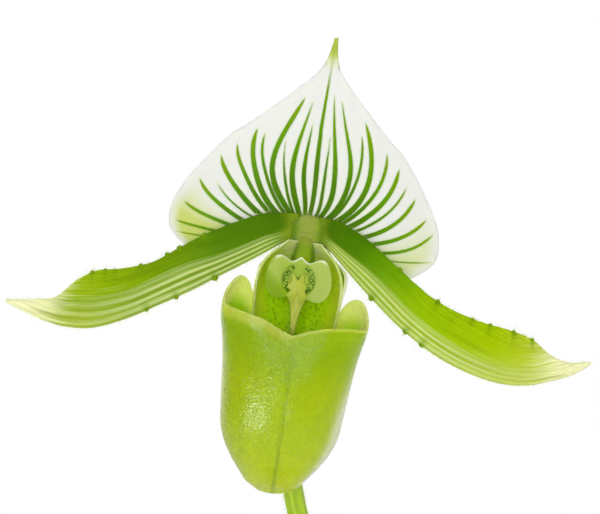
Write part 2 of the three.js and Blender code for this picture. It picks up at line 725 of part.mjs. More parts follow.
function petalGeometry(petal) {
  const at = (s, t) => petalPoint(petal, s, t);
  const thickness = (s, t) => THREE.MathUtils.lerp(TISSUE.petal, TISSUE.margin, t * t);
  const wart = (s, t) => {
    const bead = new THREE.IcosahedronGeometry(PETAL.wart, 0);
    bead.translate(...at(s, t));
    return solidOf(bead);
  };
  const upperWarts = petal.upperWarts.map((s) => wart(s, PETAL.wartPlace));
  const lowerWarts = petal.lowerWarts.map((s) => wart(s, -PETAL.wartPlace));
  return seated(joined([solidOf(blade(at, thickness, 22, 6)), ...upperWarts, ...lowerWarts]));
}

// Corner of the pouch's wall at a turn from the front and a height, moved in by inset.
function pouchPoint(turn, height, inset) {
  const { heights, halfWidths, fronts, backs, squareness, leastHalf } = POUCH;
  const front = lookUp(heights, fronts, height);
  const back = lookUp(heights, backs, height);
  const half = Math.max(lookUp(heights, halfWidths, height) - inset, leastHalf);
  const depth = Math.max((back - front) / 2 - inset, leastHalf);
  const rounded = (x) => Math.sign(x) * Math.abs(x) ** squareness;
  return [
    POUCH.middle + half * rounded(Math.sin(turn)),
    (front + back) / 2 - depth * rounded(Math.cos(turn)),
    height,
  ];
}

// Height of the pouch's rim at a turn from the front.
function rimHeight(turn) {
  const { rimTurns, rimHeights, earFoot, rightEar } = POUCH;
  const height = lookUp(rimTurns, rimHeights, Math.min(turn, 2 * Math.PI - turn) / DEG);
  return turn < Math.PI && height > earFoot ? earFoot + (height - earFoot) * rightEar : height;
}

// The pouch: rings up its outside to the rim, and back down its inside.
function pouchSolid() {
  const { climbs, around } = POUCH;
  const toe = POUCH.heights[0];
  const ring = (climb, inset, lift) =>
    Array.from({ length: around }, (_, j) => {
      const turn = (j / around) * 2 * Math.PI;
      return pouchPoint(turn, toe + lift + (rimHeight(turn) - toe - lift) * climb, inset);
    });
  const outer = climbs.map((climb) => ring(climb, 0, 0));
  const inner = climbs.map((climb) => ring(climb, TISSUE.lip, climb < 1 ? TISSUE.lip * 1.1 : 0)).reverse();
  return solidOf(loft([...outer, ...inner]));
}

// The trough: an upright half tube open to the front.
function troughSolid() {
  const { middle, heights, radii, backs, wraps } = TROUGH;
  const at = (s, t) => {
    const radius = through(radii, s);
    const turn = t * through(wraps, s) * DEG;
    const back = through(backs, s) - radius * (1 - Math.cos(turn));
    return [middle + radius * Math.sin(turn), back, through(heights, s)];
  };
  return solidOf(blade(at, () => TISSUE.lip, 9, 12));
}

function keelSolid() {
  const { heights, halfWidths, fronts, middle, back, crest } = KEEL;
  const rings = heights.map((height, i) => [
    [middle - halfWidths[i], back, height],
    [middle - halfWidths[i], fronts[i] + crest, height],
    [middle, fronts[i], height],
    [middle + halfWidths[i], fronts[i] + crest, height],
    [middle + halfWidths[i], back, height],
  ]);
  return solidOf(loft(rings));
}

function lipGeometry() {
  return seated(joined([pouchSolid(), troughSolid(), keelSolid()]));
}

// A whole outline from the half that lies on the right of the middle.
const mirrored = (half) => [...half, ...half.slice(1, -1).reverse().map(([side, up]) => [-side, up])];

// The dished shield with its notched top edge, and the toothed boss in front of it.
function shieldSolids() {
  const { at, outline, thick, dish, dishRadius, layers } = SHIELD;
  const [x, y, z] = at;
  const rings = layers.map(([share, back]) =>
    mirrored(outline).map(([side, up]) => {
      const lift = dish * (share * Math.hypot(side, up) / dishRadius) ** 2;
      return [x + side * share, y + back - lift, z + up * share];
    }),
  );
  const corners = mirrored(BOSS.outline).map(([side, up]) => new THREE.Vector2(side, up));
  const depth = BOSS.proud + thick;
  const boss = new THREE.ExtrudeGeometry(new THREE.Shape(corners), { depth, bevelEnabled: false });
  boss.rotateX(90 * DEG);
  boss.translate(x, y + thick, z);
  return [solidOf(loft(rings)), solidOf(boss)];
}

// The column: stalk, stigma and anthers behind the shield.
function columnGeometry() {
  const beads = [STIGMA, ...ANTHERS].map(({ radius, at, stretch }) => {
    const ball = new THREE.SphereGeometry(radius, 7, 5);
    ball.scale(...stretch);
    ball.translate(...at);
    return solidOf(ball);
  });
  return geometryOf(clearOfOvary(joined([stalkSolid(), ...beads, ...shieldSolids()])));
}

const finishes = {
  clay: { color: 0xb5623f, roughness: 0.85 },
  bark: { color: 0x5a3a24, roughness: 0.95 },
  root: { color: 0x7a5b3c, roughness: 0.9 },
  leaf: { color: 0x3c6b33, roughness: 0.45 },
  stem: { color: 0x7da22f, roughness: 0.55 },
  sepal: { color: 0xf2f5ea, roughness: 0.5 },
  petal: { color: 0x93bf22, roughness: 0.5 },
  lip: { color: 0x9cc40f, roughness: 0.3 },
  column: { color: 0xc3d96b, roughness: 0.4 },
};

function add(parent, name, finish, geometry) {
  const material = new THREE.MeshStandardMaterial({ metalness: 0, ...finishes[finish] });
  const mesh = new THREE.Mesh(geometry, material);
  mesh.name = name;
  parent.add(mesh);
}

const orchid = new THREE.Group();
add(orchid, "pot", "clay", potGeometry());
add(orchid, "bark_mix", "bark", barkGeometry());
for (const growth of GROWTHS) {
  add(orchid, `crown_${growth.name}`, "root", crownGeometry(growth));
  for (const [i, leaf] of growth.leaves.entries()) {
    add(orchid, `leaf_${growth.name}_${i + 1}`, "leaf", leafGeometry(growth, leaf, i));
  }
}
add(orchid, "scape", "stem", scapeGeometry());
add(orchid, "floral_bract", "stem", bractGeometry());
const ovary = ovaryGeometry();
ovary.translate(...CENTRE.toArray());
add(orchid, "ovary", "stem", ovary);

// The bloom, built upright round its centre and then leant.
const bloom = new THREE.Group();
bloom.position.copy(CENTRE);
bloom.rotation.y = ROLL;
const thinning = (s, t) => THREE.MathUtils.lerp(TISSUE.sepal, TISSUE.margin, Math.max(s, Math.abs(t)) ** 4);
add(bloom, "dorsal_sepal", "sepal", seated(solidOf(blade(sepalPoint, thinning, 9, 28))));
add(bloom, "synsepal", "sepal", seated(solidOf(blade(synsepalPoint, () => TISSUE.synsepal, 8, 6))));
add(bloom, "petal_left", "petal", petalGeometry(PETALS.left));
add(bloom, "petal_right", "petal", petalGeometry(PETALS.right));
add(bloom, "lip", "lip", lipGeometry());
add(bloom, "column", "column", columnGeometry());
orchid.add(bloom);

export default orchid;
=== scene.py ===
"""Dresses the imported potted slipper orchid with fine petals, leaves, bark and clay.

Every piece repeats the sizes of the CAD node that it stands for, with finer steps, and adds veins, hairs,
warts and moss. Lengths are in millimetres until a mesh is made, and the flower has its own frame.
"""
import logging
import math
from collections.abc import Callable, Sequence
from dataclasses import dataclass, field
from enum import Enum
from functools import partial

import bpy
import numpy as np
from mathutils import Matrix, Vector


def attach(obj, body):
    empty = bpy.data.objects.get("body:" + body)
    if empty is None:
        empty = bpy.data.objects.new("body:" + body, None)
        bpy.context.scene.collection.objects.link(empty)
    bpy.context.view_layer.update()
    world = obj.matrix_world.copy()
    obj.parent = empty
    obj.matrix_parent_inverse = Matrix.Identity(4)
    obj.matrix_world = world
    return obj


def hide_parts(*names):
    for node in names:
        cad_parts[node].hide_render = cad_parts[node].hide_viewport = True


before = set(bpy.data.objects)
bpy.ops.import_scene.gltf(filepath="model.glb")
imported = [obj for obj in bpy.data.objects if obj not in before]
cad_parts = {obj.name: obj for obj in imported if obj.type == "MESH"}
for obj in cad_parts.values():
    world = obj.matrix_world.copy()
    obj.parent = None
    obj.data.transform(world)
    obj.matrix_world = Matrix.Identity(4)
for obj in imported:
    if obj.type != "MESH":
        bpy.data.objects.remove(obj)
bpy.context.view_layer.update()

# One millimetre in metres, and the least room between two pieces in millimetres
MM = 0.001
GAP = 0.3

# How far a blade's margins thin, and the distance marked on a point with no vein near
MARGIN_THINS = 0.93
NO_VEIN = 9.0

# The one body of the frame
ROOT_BODY = "root"

# The flower's centre and lean, and where its stem starts, from the centre
CENTRE = np.array([-20.6, -16.0, 385.0])
ROLL = math.radians(8)
JOINT = (2.6, 18.0, -72.0)

Array = np.ndarray
Surface = Callable[[Array, Array], Array]
Colour = tuple[float, float, float]

log = logging.getLogger("orchid")


# Smooth curves through tables


def hermite(table: Array, i: Array, share: Array) -> Array:
    """Catmull-Rom values between entries i and i + 1.

    Args:
        table: The numbers or points to pass through.
        i: The entry before each wanted value.
        share: How far each value is on the way to the next entry, from 0 to 1.

    Returns:
        One value or point for each entry of i.
    """
    last = len(table) - 1
    a, b = table[np.maximum(i - 1, 0)], table[i]
    c, d = table[i + 1], table[np.minimum(i + 2, last)]
    f = share[..., None] if table.ndim > 1 else share
    return b + 0.5 * f * (c - a + f * (2 * a - 5 * b + 4 * c - d + f * (3 * (b - c) + d - a)))


def through(table: Sequence, x: Array | float) -> Array:
    """Smooth values at x, from 0 to 1, through evenly spaced numbers or points.

    Args:
        table: The numbers or points.
        x: Positions from 0 to 1.

    Returns:
        One value or point for each entry of x.
    """
    table = np.asarray(table, float)
    spans = len(table) - 1
    place = np.clip(np.asarray(x, float), 0, 1) * spans
    i = np.minimum(place.astype(int), spans - 1)
    return hermite(table, i, place - i)


def look_up(positions: Sequence[float], table: Sequence[float], x: Array | float) -> Array:
    """Smooth values at x on a table whose positions rise.

    Args:
        positions: Where each number of the table stands.
        table: The numbers.
        x: Wanted positions.

    Returns:
        One value for each entry of x.
    """
    positions, table = np.asarray(positions, float), np.asarray(table, float)
    x = np.asarray(x, float)
    i = np.searchsorted(positions[1:-1], x)
    share = (x - positions[i]) / (positions[i + 1] - positions[i])
    return hermite(table, i, np.clip(share, 0, 1))


def lerp(a: float, b: float, share: Array) -> Array:
    """Value at a share of the way from a to b."""
    return a + (b - a) * share


def rise(x: Array, low: float, high: float) -> Array:
    """Smooth step from 0 at low to 1 at high."""
    share = np.clip((x - low) / (high - low), 0, 1)
    return share * share * (3 - 2 * share)


def hump(x: Array, width: float) -> Array:
    """Bell curve of height 1 round 0."""
    return np.exp(-((x / width) ** 2))


def crowded(count: int, edge: float = 0.35) -> Array:
    """Positions from -1 to 1 that stand closer together near both ends."""
    x = np.linspace(-1, 1, count)
    return x * (1 + (1 - edge) / 2) - (1 - edge) / 2 * x**3


def unit(vectors: Array) -> Array:
    """Vectors made one long."""
    return vectors / np.maximum(np.linalg.norm(vectors, axis=-1, keepdims=True), 1e-9)


def at_centre(points: Array) -> Array:
    """Points of the upright frame round the flower's centre, moved to where the flower hangs."""
    return points + CENTRE


def circle(count: int) -> Array:
    """Turns in radians, evenly spaced."""
    return np.arange(count) / count * 2 * np.pi


def ring(reach: Array, turn: Array, height: Array) -> Array:
    """Points at a reach and a turn round the upright axis, at a height."""
    return np.stack(np.broadcast_arrays(reach * np.cos(turn), reach * np.sin(turn), height), -1)


def from_flower_frame(points: Array) -> Array:
    """Points of the flower's own frame, leant and moved to where the flower hangs."""
    x, y, z = np.moveaxis(points, -1, 0)
    cos, sin = math.cos(ROLL), math.sin(ROLL)
    return np.stack([x * cos + z * sin, y, z * cos - x * sin], -1) + CENTRE


# Meshes


@dataclass
class Form:
    """A mesh in the making, with one number per point for each named mark that its finish reads."""

    points: Array
    faces: list[Array]
    marks: dict[str, Array] = field(default_factory=dict)

    def placed(self, move: Callable[[Array], Array]) -> "Form":
        """The same form with its points moved."""
        return Form(move(self.points), self.faces, self.marks)

    def marked(self, **values: Array | float) -> "Form":
        """The same form with more marks."""
        count = len(self.points)
        marks = {name: np.broadcast_to(np.ravel(v), count) for name, v in values.items()}
        return Form(self.points, self.faces, self.marks | marks)

    def outward(self) -> "Form":
        """The same closed form with every face turned outwards."""
        volume = 0.0
        for block in self.faces:
            corners = self.points[block]
            for k in range(1, block.shape[1] - 1):
                a, b, c = corners[:, 0], corners[:, k], corners[:, k + 1]
                volume += float(np.einsum("ij,ij->i", a, np.cross(b, c)).sum())
        if volume < 0:
            return Form(self.points, [block[:, ::-1] for block in self.faces], self.marks)
        return self

    def object(self, name: str, *materials: bpy.types.Material, sharp: float = 60) -> bpy.types.Object:
        """Makes the Blender object.

        Args:
            name: The object's name.
            materials: Its finishes; the mark "finish" picks one of them for each point.
            sharp: Edges that bend more than this many degrees stay crisp.

        Returns:
            The object, in metres, in the row frame.
        """
        mesh = bpy.data.meshes.new(name)
        faces = [row for block in self.faces for row in block.tolist()]
        mesh.from_pydata((self.points * MM).tolist(), [], faces)
        for mark, values in self.marks.items():
            if mark == "finish":
                first = np.array([row[0] for row in faces])
                mesh.polygons.foreach_set("material_index", values[first].astype(np.int32))
                continue
            attribute = mesh.attributes.new(mark, "FLOAT", "POINT")
            attribute.data.foreach_set("value", np.ascontiguousarray(values, np.float32))
        for material in materials:
            mesh.materials.append(material)
        mesh.shade_smooth()
        mesh.set_sharp_from_angle(angle=math.radians(sharp))
        made = bpy.data.objects.new(name, mesh)
        bpy.context.scene.collection.objects.link(made)
        return made


def joined(*forms: Form) -> Form:
    """Several forms as one. A mark that a form lacks is 0 on its points.

    Args:
        forms: The forms, in the order that their points keep.

    Returns:
        The form of them all.
    """
    names = sorted({name for form in forms for name in form.marks})
    faces, start = [], 0
    for form in forms:
        faces += [block + start for block in form.faces]
        start += len(form.points)
    marks = {
        name: np.concatenate([form.marks.get(name, np.zeros(len(form.points))) for form in forms])
        for name in names
    }
    return Form(np.concatenate([form.points for form in forms]), faces, marks)


def net(rows: int, columns: int, wrap: bool = False) -> Array:
    """Four-cornered faces of a grid of points, closed across the last column where wrap is set."""
    i, j = np.meshgrid(np.arange(rows - 1), np.arange(columns if wrap else columns - 1), indexing="ij")
    i, j = i.ravel(), j.ravel()
    k = (j + 1) % columns
    return np.stack([i * columns + j, (i + 1) * columns + j, (i + 1) * columns + k, i * columns + k], -1)


def normals(at: Surface, s: Array, t: Array) -> Array:
    """Directions square to the surface at(s, t)."""
    step = 1e-3
    s0, t0 = np.minimum(s, 1 - step), np.minimum(t, 1 - step)
    corner = at(s0, t0)
    return unit(np.cross(at(s0 + step, t0) - corner, at(s0, t0 + step) - corner))


def blade(
    at: Surface,
    thickness: Surface | float,
    rows: Array,
    columns: Array,
    relief: Surface | None = None,
    rounding: float = 0.1,
    round_tip: bool = True,
) -> Form:
    """A thin closed blade with rounded margins.

    Args:
        at: Its middle surface, with s from 0 to 1 along it and t from -1 to 1 across it.
        thickness: Its thickness, over s and t or the same all over.
        rows: The values of s that get points.
        columns: The values of t that get points.
        relief: How far both faces are raised over s and t.
        rounding: The share of its width over which it thins to its margin.
        round_tip: Whether the end at s = 1 is rounded as well.

    Returns:
        The form, with the marks along, across and face, which is 1 on the side that faces -Y or up.
    """
    s, t = np.meshgrid(rows, columns, indexing="ij")
    middle, square = at(s, t), normals(at, s, t)
    facing = -square[..., 1] + 0.5 * square[..., 2]
    if facing.mean() < 0:
        square = -square
    near = np.clip((np.abs(t) - (1 - rounding)) / rounding, 0, 1)
    if round_tip:
        near = np.maximum(near, np.clip((s - (1 - rounding / 2)) / (rounding / 2), 0, 1))
    thick = thickness(s, t) if callable(thickness) else thickness
    half = thick / 2 * np.sqrt(1 - MARGIN_THINS * near**2)
    lift = relief(s, t) if relief else np.zeros_like(s)
    front = middle + square * (lift + half)[..., None]
    back = middle + square * (lift - half)[..., None]
    height, width = s.shape
    grid = net(height, width)
    face = height * width
    index = np.arange(face).reshape(height, width)
    rim = np.concatenate([index[:, 0], index[-1, 1:], index[-2::-1, -1], index[0, -2:0:-1]])
    walls = np.stack([rim, np.roll(rim, -1), np.roll(rim, -1) + face, rim + face], -1)
    points = np.concatenate([front.reshape(-1, 3), back.reshape(-1, 3)])
    both = {"along": np.tile(s.ravel(), 2), "across": np.tile(t.ravel(), 2)}
    side = np.concatenate([np.ones(face), np.zeros(face)])
    return Form(points, [grid[:, ::-1], grid + face, walls], both | {"face": side}).outward()


def loft(rings: Array, **marks: Array) -> Form:
    """A closed body through rings of points, with a point in the middle of each end ring.

    Args:
        rings: Rows of points, from one end to the other.
        marks: Numbers for each point of the rings.

    Returns:
        The closed form.
    """
    rows, sides = rings.shape[:2]
    points = np.concatenate([rings.reshape(-1, 3), rings[:1].mean(1), rings[-1:].mean(1)])
    around = np.arange(sides)
    following = (around + 1) % sides
    start = np.stack([following, around, np.full(sides, rows * sides)], -1)
    last = (rows - 1) * sides
    end = np.stack([around + last, following + last, np.full(sides, rows * sides + 1)], -1)
    filled = {}
    for name, values in marks.items():
        values = np.broadcast_to(values, (rows, sides))
        filled[name] = np.concatenate([values.ravel(), [values[0].mean(), values[-1].mean()]])
    return Form(points, [net(rows, sides, wrap=True)[:, ::-1], start, end], filled).outward()


def course(points: Sequence[Sequence[float]], share: Array) -> Array:
    """Points at shares of the way along a centripetal Catmull-Rom curve, as the CAD's tubes use.

    Args:
        points: The points to pass through.
        share: How far each point is along the curve, from 0 to 1.

    Returns:
        One point for each share.
    """
    p = np.asarray(points, float)
    p = np.concatenate([[2 * p[0] - p[1]], p, [2 * p[-1] - p[-2]]])
    spans = len(points) - 1
    place = np.clip(share, 0, 1) * spans
    i = np.minimum(place.astype(int), spans - 1)
    f = (place - i)[:, None]
    a, b, c, d = p[i], p[i + 1], p[i + 2], p[i + 3]
    gap = [np.sqrt(np.linalg.norm(v - u, axis=1, keepdims=True)) for u, v in ((a, b), (b, c), (c, d))]
    t1 = ((b - a) / gap[0] - (c - a) / (gap[0] + gap[1]) + (c - b) / gap[1]) * gap[1]
    t2 = ((c - b) / gap[1] - (d - b) / (gap[1] + gap[2]) + (d - c) / gap[2]) * gap[1]
    return b + f * (t1 + f * (3 * (c - b) - 2 * t1 - t2 + f * (2 * (b - c) + t1 + t2)))


def tube(
    line: Sequence[Sequence[float]],
    radii: Sequence[float],
    sides: int,
    steps: int,
    shape: Surface | None = None,
) -> Form:
    """A closed tube along a smooth line.

    Args:
        line: The points that its middle passes through.
        radii: Its radius along the line.
        sides: How many points go round it.
        steps: How many parts its length is split into.
        shape: A factor on the radius over the share of the length and the turn in radians.

    Returns:
        The form, with the marks along and turn, closed at both ends.
    """
    share = np.linspace(0, 1, steps + 1)
    middle = course(line, share)
    along = unit(np.gradient(middle, axis=0))
    side = unit(np.cross(along, [0.31, 0.95, 0.05]))
    other = unit(np.cross(along, side))
    s, turn = np.meshgrid(share, np.arange(sides) / sides * 2 * np.pi, indexing="ij")
    reach = through(radii, s) * (shape(s, turn) if shape else 1)
    out = np.cos(turn)[..., None] * side[:, None] + np.sin(turn)[..., None] * other[:, None]
    rings = middle[:, None] + reach[..., None] * out
    return loft(rings, along=s, turn=turn / (2 * np.pi))


def bead(at: Sequence[float], radii: Sequence[float], rows: int = 10, sides: int = 16) -> Form:
    """A small closed ball or egg round a point, its radii along X, Y and Z."""
    tilt = np.linspace(0.12, np.pi - 0.12, rows)[:, None]
    turn = np.arange(sides) / sides * 2 * np.pi
    x, y = np.sin(tilt) * np.cos(turn), np.sin(tilt) * np.sin(turn)
    z = np.broadcast_to(np.cos(tilt), x.shape)
    return loft(np.stack([x, y, z], -1) * radii + np.asarray(at, float))


def bristles(
    roots: Array, ways: Array, lengths: Array, width: float, seed: int, spread: float = 0.35
) -> Form:
    """Hairs as thin three-sided spikes that start just under the skin.

    Args:
        roots: Where each hair grows.
        ways: The direction that each one follows, give or take.
        lengths: How long each one is.
        width: How thick they are at the root.
        seed: Starts the run of random numbers.
        spread: How far a hair strays from its direction, as a share of its length.

    Returns:
        The form, with the mark hair, which is 1 on all its points.
    """
    draw = np.random.default_rng(seed)
    ways = unit(unit(ways) + draw.normal(0, spread, ways.shape))
    side = unit(np.cross(ways, [0.3, 0.5, 0.8]))
    other = np.cross(ways, side)
    foot = roots - ways * width
    corners = [foot + width / 2 * (math.cos(a) * side + math.sin(a) * other) for a in (0, 2.1, 4.2)]
    bend = draw.normal(0, 0.12, ways.shape) * lengths[:, None]
    tips = roots + ways * lengths[:, None] + bend
    points = np.stack([*corners, tips], 1).reshape(-1, 3)
    start = np.arange(len(roots))[:, None] * 4
    faces = np.concatenate([start + np.array(f) for f in ((0, 1, 3), (1, 2, 3), (2, 0, 3), (2, 1, 0))])
    return Form(points, [faces]).marked(hair=1.0)


# Shaders


class Value:
    """A number socket of a shader. Arithmetic on it adds Math nodes."""

    def __init__(self, shader: "Nodes", socket: bpy.types.NodeSocket) -> None:
        """Wraps one output socket."""
        self.shader = shader
        self.socket = socket

    def __add__(self, other: "Value | float") -> "Value":
        """Sum."""
        return self.shader.math("ADD", self, other)

    def __sub__(self, other: "Value | float") -> "Value":
        """Difference."""
        return self.shader.math("SUBTRACT", self, other)

    def __rsub__(self, other: float) -> "Value":
        """Difference from a number."""
        return self.shader.math("SUBTRACT", other, self)

    def __mul__(self, other: "Value | float") -> "Value":
        """Product."""
        return self.shader.math("MULTIPLY", self, other)

    def __truediv__(self, other: "Value | float") -> "Value":
        """Quotient."""
        return self.shader.math("DIVIDE", self, other)

    __radd__ = __add__
    __rmul__ = __mul__


class Nodes:
    """A node tree that is being filled."""

    def __init__(self, owner: bpy.types.Material | bpy.types.World) -> None:
        """Starts with the nodes that Blender gives a new material or world."""
        owner.use_nodes = True
        self.tree = owner.node_tree

    def node(self, kind: str, settings: dict | None = None, sockets: dict | None = None) -> bpy.types.Node:
        """Adds a node.

        Args:
            kind: The node's type, without the leading ShaderNode.
            settings: Its own settings, set first; stops are a ramp's positions and colours.
            sockets: The values or links of its input sockets.

        Returns:
            The node.
        """
        made = self.tree.nodes.new("ShaderNode" + kind)
        for key, value in (settings or {}).items():
            if key != "stops":
                setattr(made, key, value)
                continue
            ends = made.color_ramp.elements
            for element, (place, colour) in zip(ends, (value[0], value[-1])):
                element.position = place
                element.color = (*colour, 1.0)
            for place, colour in value[1:-1]:
                ends.new(place).color = (*colour, 1.0)
        for key, value in (sockets or {}).items():
            self.feed(made.inputs[key], value)
        return made

    def feed(self, socket: bpy.types.NodeSocket, value: object) -> None:
        """Links or sets one input socket."""
        if isinstance(value, Value):
            value = value.socket
        if isinstance(value, bpy.types.NodeSocket):
            self.tree.links.new(value, socket)
        elif isinstance(value, tuple) and len(value) == 3 and socket.type == "RGBA":
            socket.default_value = (*value, 1.0)
        else:
            socket.default_value = value

    def math(self, operation: str, *parts: "Value | float") -> Value:
        """The result of a Math node."""
        made = self.node("Math", {"operation": operation}, dict(enumerate(parts)))
        return Value(self, made.outputs[0])

    def mark(self, name: str) -> Value:
        """A number that the mesh carries on its points."""
        return Value(self, self.node("Attribute", {"attribute_name": name}).outputs["Fac"])

    def place(self, stretch: Sequence[float] = (1, 1, 1)) -> bpy.types.NodeSocket:
        """The point of the surface in millimetres of the row frame, stretched along X, Y and Z."""
        here = self.node("TexCoord").outputs["Object"]
        factor = tuple(k / MM for k in stretch)
        return self.node("VectorMath", {"operation": "MULTIPLY"}, {0: here, 1: factor}).outputs[0]

    def pair(self, x: "Value | float", y: "Value | float", z: "Value | float" = 0.0) -> bpy.types.NodeSocket:
        """A place made of three numbers."""
        return self.node("CombineXYZ", None, {0: x, 1: y, 2: z}).outputs[0]

    def noise(self, size: float, where: bpy.types.NodeSocket | None = None, detail: float = 3.0) -> Value:
        """Soft random numbers from 0 to 1.

        Args:
            size: The width of their blotches in millimetres.
            where: The place to read them at, if it isn't the surface's own.
            detail: How many finer layers they have.

        Returns:
            The number.
        """
        sockets = {"Vector": where or self.place(), "Scale": 1 / size, "Detail": detail}
        return Value(self, self.node("TexNoise", None, sockets).outputs[0])

    def cells(self, size: float, where: bpy.types.NodeSocket | None = None, edges: bool = False) -> Value:
        """Distance to the middle of the nearest of many cells.

        Args:
            size: The width of a cell in millimetres.
            where: The place to read them at, if it isn't the surface's own.
            edges: Whether it is the distance to the nearest edge instead.

        Returns:
            The distance, as a share of the size.
        """
        settings = {"feature": "DISTANCE_TO_EDGE"} if edges else {"feature": "F1"}
        sockets = {"Vector": where or self.place(), "Scale": 1 / size}
        return Value(self, self.node("TexVoronoi", settings, sockets).outputs["Distance"])

    def step(self, value: Value, low: float, high: float) -> Value:
        """Smooth step of a value.

        Args:
            value: The number that it follows.
            low: Where the step is 0.
            high: Where it is 1, above or below low.

        Returns:
            The step.
        """
        turned = low > high
        settings = {"interpolation_type": "SMOOTHSTEP"}
        sockets = {0: value, 1: min(low, high), 2: max(low, high), 3: float(turned), 4: float(not turned)}
        return Value(self, self.node("MapRange", settings, sockets).outputs[0])

    def ramp(self, value: Value, stops: Sequence[tuple[float, Colour]]) -> bpy.types.NodeSocket:
        """A colour that follows value through the stops."""
        return self.node("ValToRGB", {"stops": stops}, {0: value}).outputs[0]

    def blend(self, share: "Value | float", first: object, second: object) -> bpy.types.NodeSocket:
        """A colour at a share of the way from the first to the second."""
        sockets = {0: share, 6: first, 7: second}
        return self.node("Mix", {"data_type": "RGBA"}, sockets).outputs[2]

    def layers(self, ground: object, *coats: tuple[Value, object]) -> bpy.types.NodeSocket:
        """A ground colour with others over it.

        Args:
            ground: The first colour.
            coats: The share and the colour of each coat, from the lowest up.

        Returns:
            The colour.
        """
        for share, colour in coats:
            ground = self.blend(share, ground, colour)
        return ground

    def shaded(self, colour: object, factor: Value) -> bpy.types.NodeSocket:
        """A colour made lighter or darker by a factor."""
        grey = self.node("CombineXYZ", None, {0: factor, 1: factor, 2: factor}).outputs[0]
        settings = {"data_type": "RGBA", "blend_type": "MULTIPLY"}
        return self.node("Mix", settings, {0: 1.0, 6: colour, 7: grey}).outputs[2]


class Shader(Nodes):
    """A material's nodes, with one Principled BSDF whose constant sockets are set directly."""

    def __init__(self, name: str, **sockets: float | Colour) -> None:
        """Starts a material.

        Args:
            name: The material's name.
            sockets: Values of the Principled BSDF, with _ for a space in a socket's name.
        """
        self.material = bpy.data.materials.new(name)
        super().__init__(self.material)
        self.surface = self.tree.nodes["Principled BSDF"]
        for key, value in sockets.items():
            self.surface.inputs[key.replace("_", " ")].default_value = value

    def finish(
        self, colour: object, roughness: Value | None = None, bump: Sequence[tuple[Value, float]] = ()
    ) -> bpy.types.Material:
        """Feeds the surface.

        Args:
            colour: The base colour.
            roughness: The roughness where it varies over the surface.
            bump: Heights from 0 to 1 and how many millimetres each one stands for.

        Returns:
            The material.
        """
        self.feed(self.surface.inputs["Base Color"], colour)
        if roughness is not None:
            self.feed(self.surface.inputs["Roughness"], roughness)
        below = None
        for height, depth in bump:
            sockets = {"Strength": 1.0, "Distance": depth * MM, "Height": height}
            if below is not None:
                sockets["Normal"] = below
            below = self.node("Bump", None, sockets).outputs[0]
        if below is not None:
            self.feed(self.surface.inputs["Normal"], below)
        return self.material


# Finishes


class Slot(Enum):
    """The record's material slots."""

    CLAY = "clay"
    BARK = "bark"
    ROOT = "root"
    LEAF = "leaf"
    STEM = "stem"
    SEPAL = "sepal"
    PETAL = "petal"
    LIP = "lip"
    COLUMN = "column"


@dataclass(frozen=True)
class Tissue:
    """Soft living tissue: light spreads a little way inside it, and its skin has a weak gloss."""

    name: str
    roughness: float = 0.5
    gloss: float = 0.25
    glow: float = 0.25
    reach: float = 0.8
    bloom: float = 0.0
    bloom_tint: Colour = (1.0, 1.0, 1.0)
    bloom_roughness: float = 0.4

    def shader(self) -> Shader:
        """A shader with this tissue's constant values.

        Returns:
            The shader.
        """
        return Shader(
            self.name,
            Sheen_Weight=self.bloom,
            Sheen_Roughness=self.bloom_roughness,
            Sheen_Tint=(*self.bloom_tint, 1.0),
            Roughness=self.roughness,
            Specular_IOR_Level=self.gloss,
            Subsurface_Weight=self.glow,
            Subsurface_Radius=(self.reach, self.reach, self.reach * 0.5),
            Subsurface_Scale=MM,
        )


@dataclass(frozen=True)
class SepalFinish(Tissue):
    """White tissue with green veins, tinted at the tip, the foot and the lower lobes."""

    name: str = "sepal_tissue"
    gloss: float = 0.05
    reach: float = 0.35
    white: Colour = (0.88, 0.89, 0.84)
    veins: tuple = (
        (0.0, (0.075, 0.19, 0.0)), (0.33, (0.085, 0.235, 0.0)), (0.55, (0.13, 0.34, 0.0)),
        (0.75, (0.20, 0.38, 0.0)), (1.0, (0.29, 0.42, 0.0)),
    )
    halo: Colour = (0.55, 0.72, 0.12)
    tint: Colour = (0.64, 0.72, 0.12)
    foot: Colour = (0.33, 0.46, 0.03)
    tip: Colour = (0.46, 0.58, 0.08)

    def material(self) -> bpy.types.Material:
        """Stripes from the mark vein, which is the distance to the nearest vein's edge in millimetres.

        Returns:
            The material.
        """
        shader = self.shader()
        mark, step, noise = shader.mark, shader.step, shader.noise
        vein = mark("vein")
        stripe = step(vein + (noise(0.4) - 0.5) * 0.12, 0.08, -0.10)
        colour = shader.layers(
            self.white,
            (mark("tint") * 0.9, self.tint),
            (step(vein, 0.42, -0.05) * 0.3, self.halo),
            (stripe * mark("front_share"), shader.ramp(mark("along"), self.veins)),
            (mark("foot"), self.foot),
            (mark("tip"), self.tip),
        )
        return shader.finish(colour, bump=[(1 - stripe, 0.08), (noise(0.35, detail=2.0), 0.05)])


# The right petal's greens along the petal; the left's ramp below is a darker, shaded copy of these
RIGHT_GREENS = (
    (0.0, (0.17, 0.29, 0.0)), (0.05, (0.085, 0.21, 0.0)), (0.17, (0.085, 0.24, 0.0)),
    (0.28, (0.19, 0.41, 0.0)), (0.38, (0.35, 0.57, 0.0)), (0.6, (0.42, 0.60, 0.0)),
    (0.8, (0.55, 0.65, 0.04)), (0.89, (0.76, 0.82, 0.24)), (1.0, (0.92, 0.95, 0.50)),
)
# Painted shade: the left petal's greens, a darker copy of the right's
LEFT_GREENS_SHADED = (
    (0.0, (0.17, 0.29, 0.0)), (0.05, (0.085, 0.21, 0.0)), (0.25, (0.10, 0.25, 0.0)),
    (0.38, (0.18, 0.34, 0.0)), (0.6, (0.31, 0.48, 0.0)), (0.76, (0.40, 0.55, 0.01)),
    (0.82, (0.62, 0.70, 0.15)), (0.9, (0.80, 0.85, 0.34)), (1.0, (0.92, 0.95, 0.50)),
)


